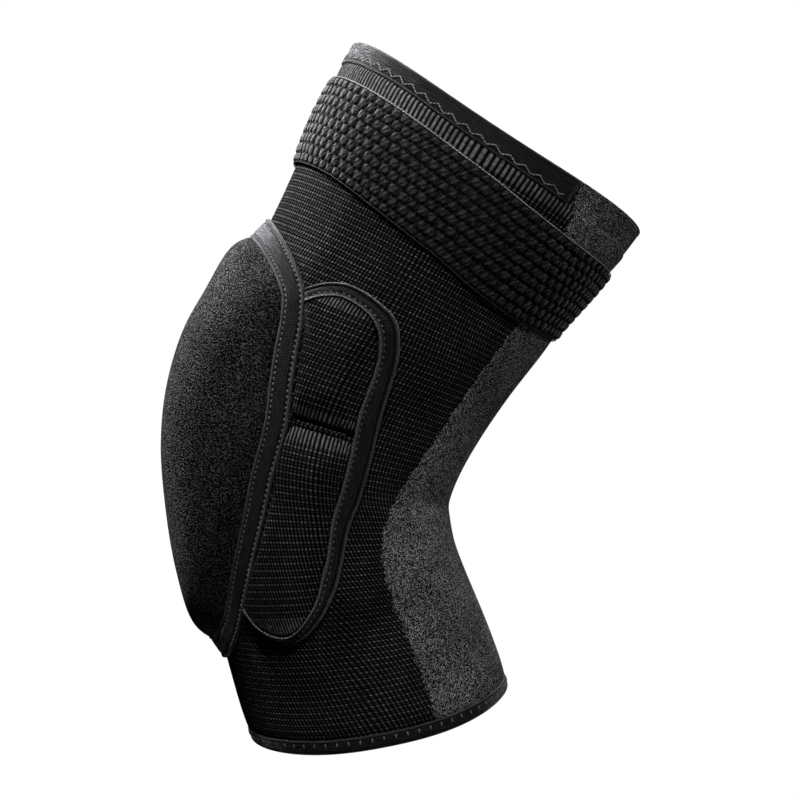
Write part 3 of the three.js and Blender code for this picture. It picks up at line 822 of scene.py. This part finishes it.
def pocket_cell(name, hand, upper):
    """Padded cell of the left pocket, or its mirror image: hand is 1 for left and -1 for right."""
    loop = cell_loop(upper) * [1, hand]
    centre = (loop.max(0) + loop.min(0)) / 2
    return pad_piece(
        name, loop, centre, CELL, lambda rim: pocket_lift(rim[..., 0]), lambda towards: CELL_FALL,
    )


# Stitches and threads


def even_places(spots, out, pitch):
    """Places at an even pitch along a line on the sheet, with the thread's direction at each."""
    length = path_length(sheet_point(spots, out)) / MM
    at = np.arange(pitch / 2, length[-1], pitch)
    spots = np.stack([np.interp(at, length, column) for column in spots.T], -1)
    out = np.interp(at, length, np.broadcast_to(out, length.shape))
    line = sheet_point(spots, out)
    return line, unit(np.gradient(line, axis=0)), leg_normal(spots[:, 0], spots[:, 1], out)


def stitch_row(spots, out, pitch, length=STITCH["length"], upright=False):
    """Row of stitches along a line on the sheet, each lying along it or upright across it.

    A stitch is a bead: a six-sided ring carried along its length and thin at its ends.
    """
    centre, forward, up = even_places(spots, out, pitch)
    if upright:
        forward = np.cross(up, forward)
    side = np.cross(up, forward)
    t = np.linspace(-1, 1, STITCH_STEPS)[:, None]
    swell = np.sqrt(1 - (STITCH["taper"] * t) ** 2)
    turn = 2 * np.pi * np.arange(STITCH_SIDES) / STITCH_SIDES
    lengthwise = t * length / 2 + 0 * turn
    crosswise = swell * np.cos(turn) * STITCH["width"] / 2
    upward = swell * np.sin(turn) * STITCH["height"] / 2
    parts = ((forward, lengthwise), (side, crosswise), (up, upward))
    return centre[:, None, None] + MM * sum(way[:, None, None] * size[..., None] for way, size in parts)


def stitches_piece(name, rows):
    """One piece from rows of stitches: every stitch has the same few faces."""
    points = np.concatenate(rows)
    step, spot = swept_quads(STITCH_STEPS, STITCH_SIDES, False)
    each = step * STITCH_SIDES + spot % STITCH_SIDES
    start = np.arange(len(points))[:, None, None] * STITCH_STEPS * STITCH_SIDES
    return new_piece(name, points, (start + each).reshape(-1, 4))


def thread_piece(name, spots, out, radius, closed=False):
    """Thread: a six-sided ring carried along a line on the sheet."""
    turn = 2 * np.pi * np.arange(STITCH_SIDES)[:, None] / STITCH_SIDES
    line = sheet_point(spots, out)
    forward = unit(np.roll(line, -1, 0) - np.roll(line, 1, 0) if closed else np.gradient(line, axis=0))
    side = unit(np.cross(leg_normal(spots[:, 0], spots[:, 1], out), forward))
    ring = side[:, None] * np.cos(turn) + np.cross(forward, side)[:, None] * np.sin(turn)
    points = line[:, None] + MM * radius * ring
    return tape_piece(name, points, turn[:, 0] / (2 * np.pi), closed)


def knee_stitches():
    """Two rows of stitches on the knee tape, one in the groove inside each lip."""
    rows = []
    for inset in (TAPE_GROOVE["at"], KNEE_TAPE_WIDTH - TAPE_GROOVE["at"]):
        loop = knee_loop(LINE_STEPS["knee"], inset)
        loop = np.concatenate([loop, loop[:1]])
        out = knee_tape_out(inset, loop[:, 1]) + STITCH["lift"]
        rows.append(stitch_row(loop, out, STITCH_PITCH["knee"]))
    return stitches_piece("knee_tape_stitches", rows)


def pocket_stitches(name, hand):
    """Stitches in the groove of a pocket's tape, and a row in the split between its two cells."""
    groove = TAPE_GROOVE["at"]
    ring, width = pocket_line(LINE_STEPS["pocket"], lambda width: PIECE_GAP + np.minimum(groove, width / 2))
    lift = pocket_lift(ring[:, 0]) * (1 - np.minimum(groove / width, 1 / 2))
    out = POCKET_TAPE["top"] - POCKET_STITCH["sink"] + lift
    middle, end = (SPLIT["low"] + SPLIT["high"]) / 2, POCKET_STITCH["split_end"]
    rear = np.interp(-middle, -POCKET_EDGE["along"][POCKET_REAR], POCKET_EDGE["angle"][POCKET_REAR])
    angle = np.linspace(pocket_front(middle) + end, rear - end, LINE_STEPS["split"])
    split = np.stack([np.full_like(angle, middle), angle], -1)
    rows = [
        stitch_row(ring * [1, hand], out, STITCH_PITCH["pocket"]),
        stitch_row(split * [1, hand], POCKET_STITCH["split_out"], STITCH_PITCH["split"]),
    ]
    return stitches_piece(name, rows)


def pocket_piping(name, hand):
    """Piping cord along the inner edge of a pocket's tape."""
    spots, _ = pocket_line(LINE_STEPS["piping"], lambda width: PIECE_GAP + PIPING + 0 * width)
    return thread_piece(name, spots * [1, hand], POCKET_TAPE["top"] + pocket_lift(spots[:, 0]), PIPING)


def hem_zigzag():
    """Zigzag thread on the top hem: a triangle wave above the lip, paced a millimetre out of the knit."""
    end = seam_angle(LEG_LENGTH) - ZIGZAG["end"]
    fine = np.linspace(-end, end, LINE_STEPS["zigzag"])
    low = LEG_LENGTH - RIM_ROLL - top_drop(fine) + ZIGZAG["above_lip"]
    length = path_length(leg_point(low, fine, 1)) / MM
    at = np.arange(0, length[-1], ZIGZAG["period"] / ZIGZAG["steps"])
    wave = np.abs(2 * ((at / ZIGZAG["period"]) % 1) - 1) * 2 - 1
    along = np.interp(at, length, low) + wave * ZIGZAG["swing"] / 2
    spots = np.stack([along, np.interp(at, length, fine)], -1)
    return thread_piece("hem_zigzag", spots, RIM_ROLL + RIM_MIDDLE + ZIGZAG["lift"], ZIGZAG["thread"] / 2)


def bottom_stitches():
    """Short upright stitches round the bottom hem, below its upper edge."""
    angle = np.linspace(0, 360, LINE_STEPS["hem"])
    spots = np.stack([np.full_like(angle, RIM_ROLL + BOTTOM_HEM - HEM_STITCH["below_edge"]), angle], -1)
    row = stitch_row(spots, RIM_ROLL + RIM_MIDDLE, STITCH_PITCH["hem"], HEM_STITCH["length"], upright=True)
    return stitches_piece("bottom_hem_stitches", [row])


def strap_thread(name, upper):
    """Thread along one edge of the strap, carried round the leg as a closed loop."""
    angle = np.linspace(0, 360, LINE_STEPS["strap_thread"], endpoint=False)
    low, high, _ = strap_edges(angle)
    radius = STRAP_THREAD["radius"]
    spots = np.stack([high - radius if upper else low + radius, angle], -1)
    return thread_piece(name, spots, STRAP_BASE + STRAP_THREAD["out"], radius, closed=True)


def swell_pads(pads):
    """Swells the pads together as filled covers: cloth with inner pressure, sewn down at rim and back.

    pads gives each pad's cap in millimetres: a point's movement nears the cap and never passes it.
    """
    scene = bpy.context.scene
    rest = {}
    for pad in pads:
        rest[pad] = np.empty(len(pad.data.vertices) * 3, np.float32)
        pad.data.vertices.foreach_get("co", rest[pad])
        cloth = pad.modifiers.new("swell", "CLOTH")
        cloth.settings.vertex_group_mass = "sewn"
        cloth.settings.use_pressure = True
        cloth.settings.uniform_pressure_force = SWELL["pressure"]
        cloth.settings.effector_weights.gravity = 0.0
        cloth.point_cache.frame_end = SWELL["frames"]
    for number in range(1, SWELL["frames"] + 1):
        scene.frame_set(number)
    depsgraph = bpy.context.evaluated_depsgraph_get()
    for pad, cap in pads.items():
        moved = np.empty_like(rest[pad])
        pad.evaluated_get(depsgraph).data.vertices.foreach_get("co", moved)
        move = (moved - rest[pad]).reshape(-1, 3)
        size = np.linalg.norm(move, axis=1, keepdims=True)
        move *= cap * MM * np.tanh(size / (cap * MM)) / np.maximum(size, 1e-9)
        pad.modifiers.remove(pad.modifiers["swell"])
        pad.data.vertices.foreach_set("co", rest[pad] + move.ravel())
        pad.data.update()
    scene.frame_set(1)


# Materials


class Nodes:
    """Adds nodes to one tree and links them: an input is a socket, a number or a colour."""

    def __init__(self, tree):
        self.tree = tree

    def give(self, node, inputs):
        """Links or sets a node's inputs."""
        for name, value in inputs.items():
            if isinstance(value, bpy.types.NodeSocket):
                self.tree.links.new(value, node.inputs[name])
            else:
                node.inputs[name].default_value = value
        return node

    def add(self, kind, inputs=None, **settings):
        """New node with its settings and inputs."""
        node = self.tree.nodes.new("ShaderNode" + kind)
        for name, value in settings.items():
            setattr(node, name, value)
        return self.give(node, inputs or {})

    def math(self, operation, *values):
        """Math node's result."""
        return self.add("Math", dict(enumerate(values)), operation=operation).outputs[0]

    def times(self, first, *others):
        """Product of all the values."""
        for other in others:
            first = self.math("MULTIPLY", first, other)
        return first

    def line(self, value, slope, start):
        """Straight line: the value times a slope, with a start added."""
        return self.math("MULTIPLY_ADD", value, slope, start)

    def fade(self, value, low, high):
        """Soft step from 0 at low to 1 at high."""
        inputs = {"Value": value, "From Min": low, "From Max": high}
        return self.add("MapRange", inputs, interpolation_type="SMOOTHSTEP").outputs[0]

    def blend(self, share, start, end):
        """Colour between two colours."""
        return self.add("Mix", {0: share, 6: start, 7: end}, data_type="RGBA").outputs[2]

    def noise(self, place, scale, detail=2.0, distortion=0.0):
        """Noise value at a place."""
        inputs = {"Vector": place, "Scale": scale, "Detail": detail, "Distortion": distortion}
        return self.add("TexNoise", inputs).outputs["Fac"]

    def group(self, tree, inputs):
        """Outputs of a node group placed in this tree."""
        node = self.tree.nodes.new("ShaderNodeGroup")
        node.node_tree = tree
        return self.give(node, inputs).outputs

    def place(self):
        """Object coordinates."""
        return self.add("TexCoord").outputs["Object"]

    def sheet(self):
        """The piece's own places along and across its cloth."""
        return self.add("UVMap", uv_map="sheet").outputs["UV"]

    def field(self, name):
        """A value kept at each point of the piece."""
        return self.add("Attribute", attribute_name=name).outputs["Fac"]

    def parts(self, vector):
        """The X, Y and Z of a vector."""
        return self.add("SeparateXYZ", {0: vector}).outputs

    def sheen(self, facing, turned):
        """Painted sheen: the grey of fibres seen face on, blended to a paler grey where the surface turns
        away from the eye, standing in for light caught at grazing angles.
        """
        turn = self.fade(self.add("LayerWeight").outputs["Facing"], *SHEEN_FADE)
        return self.blend(turn, grey(facing), grey(turned))

    def bump(self, height, strength, distance):
        """Normal bent by a height."""
        inputs = {"Height": height, "Strength": strength, "Distance": distance}
        return self.add("Bump", inputs).outputs["Normal"]

    def shade(self, inputs):
        """Links or sets the inputs of the material's Principled shader."""
        self.give(next(node for node in self.tree.nodes if node.type == "BSDF_PRINCIPLED"), inputs)


def new_group(name, inputs, outputs):
    """Shader node group with named sockets: its tree, its Nodes and the sockets inside it."""
    group = bpy.data.node_groups.new(name, "ShaderNodeTree")
    for socket, kind in inputs.items():
        group.interface.new_socket(socket, in_out="INPUT", socket_type="NodeSocket" + kind)
    for socket, kind in outputs.items():
        group.interface.new_socket(socket, in_out="OUTPUT", socket_type="NodeSocket" + kind)
    given = group.nodes.new("NodeGroupInput").outputs
    return group, Nodes(group), given, group.nodes.new("NodeGroupOutput").inputs


def knit_loops_group():
    """Knit counted in stitches: the height of each loop, and a tone of its own for each stitch.

    A loop is rounded across its rib and along it. Each course holds a high row of loops and a lower one.
    Where the knit is taut the loops run into one long rib.
    """
    group, nodes, given, result = new_group(
        "knit_loops", {"Stitches": "Vector", "Taut": "Float"}, {"Height": "Float", "Tone": "Float"}
    )
    double = {0: given["Stitches"], 1: (1.0, 2.0, 1.0)}
    rows = nodes.add("VectorMath", double, operation="MULTIPLY").outputs[0]
    place = nodes.parts(rows)
    across, lengthwise = (
        nodes.math("ABSOLUTE", nodes.line(nodes.math("FRACT", place[axis]), 2.0, -1.0)) for axis in ("X", "Y")
    )
    rib = nodes.line(nodes.math("POWER", across, KNIT_LOOP["rib_power"]), -KNIT_LOOP["gap"], 1.0)
    loop = nodes.line(nodes.math("POWER", lengthwise, KNIT_LOOP["loop_power"]), -KNIT_LOOP["gap"], 1.0)
    lower_row = nodes.math("FLOORED_MODULO", nodes.math("FLOOR", place["Y"]), 2.0)
    loop = nodes.times(loop, nodes.line(lower_row, -KNIT_LOOP["lower_row"], 1.0))
    loop = nodes.math("MAXIMUM", loop, nodes.times(given["Taut"], KNIT_LOOP["taut"]))
    cell = nodes.add("VectorMath", {0: rows}, operation="FLOOR").outputs[0]
    tone = nodes.add("TexWhiteNoise", {"Vector": cell}, noise_dimensions="2D").outputs["Value"]
    group.links.new(nodes.times(rib, loop), result["Height"])
    group.links.new(tone, result["Tone"])
    return group


def fibres_group():
    """Loose fibres on any yarn or cloth: a fine fuzz, and slow clouds where it is worn paler."""
    group, nodes, given, result = new_group(
        "fibres", {"Place": "Vector", "Scale": "Float"}, {"Fuzz": "Float", "Cloud": "Float"}
    )
    fuzz = nodes.noise(given["Place"], given["Scale"], FIBRES["detail"])
    cloud = nodes.noise(given["Place"], FIBRES["cloud_scale"], FIBRES["detail"])
    group.links.new(nodes.fade(fuzz, *FIBRES["fuzz_fade"]), result["Fuzz"])
    group.links.new(nodes.fade(cloud, *FIBRES["cloud_fade"]), result["Cloud"])
    return group


def grey(value):
    """Neutral colour, a touch cool."""
    return (*(value * share for share in TINT), 1.0)


def new_material(name):
    """Material with the low gloss of cloth, and its Nodes."""
    material = bpy.data.materials.new(name)
    material.use_nodes = True
    nodes = Nodes(material.node_tree)
    nodes.shade({"Specular IOR Level": CLOTH_GLOSS})
    return material, nodes


def new_cloth(name, finish, groups):
    """Material of a cloth, its Nodes, and the fuzz and the clouds of its fibres."""
    material, nodes = new_material(name)
    fibre = nodes.group(groups["fibres"], {"Place": nodes.place(), "Scale": finish["fuzz_scale"]})
    return material, nodes, fibre["Fuzz"], fibre["Cloud"]


def shade_cloth(nodes, finish, fuzz, colour, height):
    """Gives a cloth its colour, a normal bent by its height, and a roughness that rises with its fuzz."""
    normal = nodes.bump(height, *finish["bump"])
    nodes.shade({"Base Color": colour, "Normal": normal, "Roughness": nodes.line(fuzz, *finish["roughness"])})


def knit_material(groups):
    """Black knit: fuzzy yarn whose tone changes from stitch to stitch, paler where taut, with the gaps
    between its loops painted dark as shade.
    """
    finish = FINISH["black_knit"]
    material, nodes, fuzz, cloud = new_cloth("black_knit", finish, groups)
    taut = nodes.field("taut")
    knit = nodes.group(groups["knit"], {"Stitches": nodes.sheet(), "Taut": taut})
    # Off the loops' tops the tone fades to the gap grey: painted shade in the gaps between loops.
    tone = nodes.times(
        nodes.line(knit["Tone"], *finish["stitch_tone"]),
        nodes.line(cloud, *finish["cloud_tone"]),
        nodes.line(fuzz, *finish["fuzz_tone"]),
        nodes.fade(knit["Height"], *finish["lit_fade"]),
    )
    yarn = nodes.blend(taut, grey(PALE["black_yarn"]), grey(PALE["taut_yarn"]))
    height = nodes.line(fuzz, finish["fuzz_height"], knit["Height"])
    shade_cloth(nodes, finish, fuzz, nodes.blend(tone, grey(PALE["knit_gap_shade"]), yarn), height)
    return material


def heather_material(groups):
    """Grey heathered knit: short pale fibres lie in all directions over black yarn, on a fine knit."""
    finish = FINISH["grey_knit"]
    material, nodes, fuzz, cloud = new_cloth("grey_knit", finish, groups)
    knit = nodes.group(groups["knit"], {"Stitches": nodes.sheet(), "Taut": 0.0})
    speck = nodes.noise(nodes.place(), *finish["speck_noise"])
    tone = nodes.times(
        nodes.fade(speck, *finish["speck_fade"]),
        nodes.line(fuzz, *finish["fuzz_tone"]),
        nodes.line(cloud, *finish["cloud_tone"]),
    )
    colour = nodes.blend(tone, grey(PALE["grey_gap"]), grey(PALE["grey_fibre"]))
    shade_cloth(nodes, finish, fuzz, colour, nodes.line(knit["Height"], finish["knit_height"], speck))
    return material


def strap_material(groups):
    """Strap knit: bobbles of dark yarn with slanting strands over them, their gaps painted dark as shade and
    their crests paler, and a painted sheen where the strap turns from the eye.

    The sheet counts bobbles round and rows across. Two thin links lie in the gap between two bobbles.
    """
    finish = FINISH["strap_knit"]
    material, nodes, fuzz, _ = new_cloth("strap_knit", finish, groups)
    count = nodes.parts(nodes.sheet())
    odd = nodes.math("MODULO", nodes.math("FLOOR", count["Y"]), 2.0)
    turn = nodes.math("FRACT", nodes.line(odd, 0.5, count["X"]))
    from_middle = nodes.math("ABSOLUTE", nodes.math("SUBTRACT", turn, 0.5))
    from_link = nodes.math("ABSOLUTE", nodes.math("SUBTRACT", from_middle, finish["link_at"]))
    bridge = nodes.math("SUBTRACT", 1.0, nodes.fade(from_link, *finish["link_fade"]))
    slant = nodes.line(turn, -finish["slant_turn"], nodes.times(count["Y"], finish["slant_rise"]))
    wander = nodes.noise(nodes.place(), *finish["wander_noise"])
    slant = nodes.line(wander, finish["wander"], slant)
    strand = nodes.math("ABSOLUTE", nodes.math("SINE", nodes.times(slant, np.pi)))
    # Off the bobbles' crests the yarn fades to the gap grey: painted shade in the gaps between bobbles.
    yarn = nodes.times(
        nodes.fade(nodes.field("crest"), *finish["crest_fade"]),
        nodes.line(nodes.math("POWER", strand, 2.0), *finish["strand_tone"]),
    )
    tone = nodes.math("MAXIMUM", yarn, nodes.times(bridge, finish["link_tone"]))
    tone = nodes.times(tone, nodes.line(fuzz, *finish["fuzz_tone"]))
    # Painted sheen: the yarn's grey pales where the strap turns from the eye.
    sheen = nodes.sheen(PALE["strap_yarn"], PALE["strap_sheen"])
    height = nodes.math("ADD", nodes.line(fuzz, finish["fuzz_height"], strand), bridge)
    shade_cloth(nodes, finish, fuzz, nodes.blend(tone, grey(PALE["strap_gap_shade"]), sheen), height)
    return material


def suede_material(groups):
    """Pad cover: a pebbled suede grain under a millimetre, with a finer nap on it and slow worn clouds. Its
    tone follows the grain's height, partly as the grain's own colour and partly as painted shade in the pits
    and painted highlight on the pebbles, with a painted sheen where it turns from the eye.
    """
    finish = FINISH["pad_suede"]
    material, nodes, fuzz, cloud = new_cloth("pad_suede", finish, groups)
    pebble = nodes.fade(nodes.noise(nodes.place(), *finish["pebble_noise"]), *finish["pebble_fade"])
    grain = nodes.line(fuzz, finish["nap"], pebble)
    # Tone by the grain's height: partly the grain's own colour, partly painted shade in its pits and painted
    # highlight on its pebbles.
    tone = nodes.times(nodes.fade(grain, *finish["grain_fade"]), nodes.line(cloud, *finish["cloud_tone"]))
    # Painted sheen: paler where the cover turns from the eye.
    sheen = nodes.sheen(PALE["suede_high"], PALE["suede_sheen"])
    shade_cloth(nodes, finish, fuzz, nodes.blend(tone, grey(PALE["suede_low"]), sheen), grain)
    return material


def tape_material(groups):
    """Binding tape: fine ribs across its length, faint streaks along it, a painted sheen where it turns from
    the eye, grooves painted dark as shade, and paler lips.
    """
    finish = FINISH["binding_tape"]
    material, nodes, fuzz, _ = new_cloth("binding_tape", finish, groups)
    sheet = nodes.sheet()
    ribs = nodes.add("TexWave", {"Vector": sheet, **finish["ribs"]}).outputs["Fac"]
    stretch = nodes.add("Mapping", {"Vector": sheet, "Scale": finish["streak_stretch"]}).outputs[0]
    streaks = nodes.fade(nodes.noise(stretch, *finish["streak_noise"]), *finish["streak_fade"])
    weave = nodes.math("POWER", ribs, finish["rib_power"])
    tone = nodes.times(nodes.line(streaks, *finish["streak_tone"]), weave)
    # Painted sheen: the tape's grey pales where it turns from the eye.
    body = nodes.blend(tone, grey(PALE["tape_low"]), nodes.sheen(PALE["tape_high"], PALE["tape_sheen"]))
    # Painted shade: the grooves darken towards the low grey.
    groove = nodes.times(nodes.field("groove"), finish["groove_shade_share"])
    body = nodes.blend(groove, body, grey(PALE["tape_low"] * finish["groove_shade_pale"]))
    # Paler on the lips, by the lip field.
    worn = nodes.times(nodes.field("lip"), nodes.line(fuzz, *finish["lip_tone"]))
    height = nodes.line(ribs, finish["rib_height"], nodes.math("ADD", streaks, fuzz))
    shade_cloth(nodes, finish, fuzz, nodes.blend(worn, body, grey(PALE["tape_lip"])), height)
    return material


def thread_material(groups, name):
    """Sewing thread: twisted yarn with loose fibres. A long thread's sheet holds its length and its turn."""
    finish = FINISH["thread"]
    material, nodes, fuzz, _ = new_cloth(name, finish, groups)
    count = nodes.parts(nodes.sheet())
    turns = nodes.line(count["X"], finish["twist"], count["Y"])
    twist = nodes.math("SINE", nodes.times(turns, 2 * np.pi))
    tone = nodes.times(nodes.line(twist, *finish["twist_tone"]), nodes.line(fuzz, *finish["fuzz_tone"]))
    colour = nodes.blend(tone, grey(PALE[name] * finish["gap"]), grey(PALE[name]))
    shade_cloth(nodes, finish, fuzz, colour, nodes.line(twist, finish["twist_height"], fuzz))
    return material


# Camera, light and floor


def add_camera():
    """Camera at the photograph's place: level, looking along +Y at the near side."""
    data = bpy.data.cameras.new("camera")
    data.sensor_width = CAMERA["sensor"]
    data.lens = CAMERA["lens"]
    camera = bpy.data.objects.new("camera", data)
    camera.location = CAMERA["place"]
    camera.rotation_euler = (np.pi / 2, 0.0, 0.0)
    bpy.context.scene.collection.objects.link(camera)
    bpy.context.scene.camera = camera


def add_light(name, place, aim, size, power, fan):
    """Square area light at a place, turned to shine at another in a fan of so many degrees."""
    data = bpy.data.lights.new(name, "AREA")
    data.size = size
    data.energy = power
    data.spread = np.radians(fan)
    light = bpy.data.objects.new(name, data)
    light.location = place
    x, y, z = np.subtract(aim, place)
    light.rotation_euler = (np.arctan2(np.hypot(x, y), -z), 0.0, np.arctan2(-x, y))
    bpy.context.scene.collection.objects.link(light)


def add_stage():
    """White surroundings, a pale floor and studio lights.

    The surroundings and the floor's own glow are bright for the camera alone, and light the sleeve little.
    """
    scene = bpy.context.scene
    scene.view_settings.view_transform = "Standard"
    scene.world = bpy.data.worlds.new("studio")
    scene.world.use_nodes = True
    nodes = Nodes(scene.world.node_tree)
    seen = nodes.add("LightPath").outputs["Is Camera Ray"]
    strength = nodes.line(seen, 1.0 - SURROUNDINGS, SURROUNDINGS)
    nodes.give(nodes.tree.nodes["Background"], {"Color": (1.0, 1.0, 1.0, 1.0), "Strength": strength})
    turn = 2 * np.pi * np.arange(FLOOR["sides"]) / FLOOR["sides"]
    ring = np.stack([np.cos(turn), np.sin(turn), 0 * turn], -1) * FLOOR["radius"]
    levels = (FLOOR["level"], FLOOR["level"] - FLOOR["thick"])
    floor = swept_piece("floor", np.stack([ring + [0, 0, level] for level in levels]))
    material, nodes = new_material("pale_floor")
    low, high = FLOOR["pale"]
    nodes.shade({
        "Base Color": nodes.blend(nodes.noise(nodes.place(), FLOOR["cloud_scale"]), grey(low), grey(high)),
        "Roughness": FLOOR["roughness"],
        "Emission Color": grey(FLOOR["glow"]),
        "Emission Strength": nodes.add("LightPath").outputs["Is Camera Ray"],
    })
    floor.data.materials.append(material)
    for light in LIGHTS:
        add_light(*light)


def finish_piece(piece, material, slot, *nodes):
    """Gives a piece its finish and its body, and hides the CAD nodes that it stands for."""
    piece.data.materials.append(material)
    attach(piece, "root")
    if nodes:
        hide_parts(*nodes)
    return piece


def build():
    """Makes every piece and gives it its finish."""
    groups = {"knit": knit_loops_group(), "fibres": fibres_group()}
    black, heather, strap_yarn = knit_material(groups), heather_material(groups), strap_material(groups)
    suede, tape = suede_material(groups), tape_material(groups)
    thread = {name: thread_material(groups, name) for name in PALE if name.endswith("_thread")}

    rim = LEG_LENGTH - RIM_ROLL
    front = knit_panel("front_panel_knit", FRONT_STEPS, rim, front_edges, GAUGE["black"], GAUGE["rim"])
    rear = knit_panel("rear_panel_knit", REAR_STEPS, LEG_LENGTH, rear_edges, GAUGE["grey"], GAUGE["grey"])
    finish_piece(front, black, "black_knit", "front_panel")
    finish_piece(rear, heather, "grey_knit", "rear_panel")

    end = seam_angle(LEG_LENGTH) - TOP_HEM_END
    angle = np.linspace(-end, end, HEM_STEPS["round"])
    top = rim_hem("top_hem", rim, 1, angle, top_drop(angle), TOP_LIP, False)
    angle = np.linspace(0, 360, HEM_STEPS["round"], endpoint=False)
    bottom = rim_hem("bottom_hem", RIM_ROLL, -1, angle, np.full_like(angle, BOTTOM_HEM), BOTTOM_LIP, True)
    finish_piece(top, tape, "binding_tape", "top_binding")
    finish_piece(bottom, tape, "binding_tape", "bottom_binding")
    zigzag = finish_piece(hem_zigzag(), thread["zigzag_thread"], "binding_tape")
    ticks = finish_piece(bottom_stitches(), thread["pale_thread"], "binding_tape")

    strap = finish_piece(thigh_strap(), strap_yarn, "strap_knit", "thigh_strap")
    high_edge = finish_piece(strap_thread("strap_high_thread", True), thread["edge_thread"], "strap_knit")
    # The lower edge's thread is the same thread as the upper edge's, darkened as painted shade under the
    # strap.
    low_edge = finish_piece(strap_thread("strap_low_thread", False), thread["shaded_edge_thread"], "strap_knit")

    pad = finish_piece(knee_pad(), suede, "pad_suede", "knee_pad")
    binding = finish_piece(knee_tape(), tape, "binding_tape", "knee_pad_binding")
    sewing = finish_piece(knee_stitches(), thread["pale_thread"], "binding_tape")

    pads = {pad: SWELL["pad"]}
    for label, hand in (("left", 1), ("right", -1)):
        for half in ("upper", "lower"):
            cell = pocket_cell(label + "_" + half + "_cell", hand, half == "upper")
            finish_piece(cell, black, "black_knit", label + "_" + half + "_pad")
            pads[cell] = SWELL["cell"]
        binding = pocket_tape(label + "_pocket_tape", hand)
        finish_piece(binding, tape, "binding_tape", label + "_pad_binding")
        piping = pocket_piping(label + "_pocket_piping", hand)
        sewing = pocket_stitches(label + "_pocket_stitches", hand)
        for piece in (piping, sewing):
            finish_piece(piece, thread["dull_thread"], "binding_tape")
    swell_pads(pads)
    for piece in pads:
        soft = piece.modifiers.new("soft", "SUBSURF")
        soft.levels = soft.render_levels = 1


add_camera()
add_stage()
build()
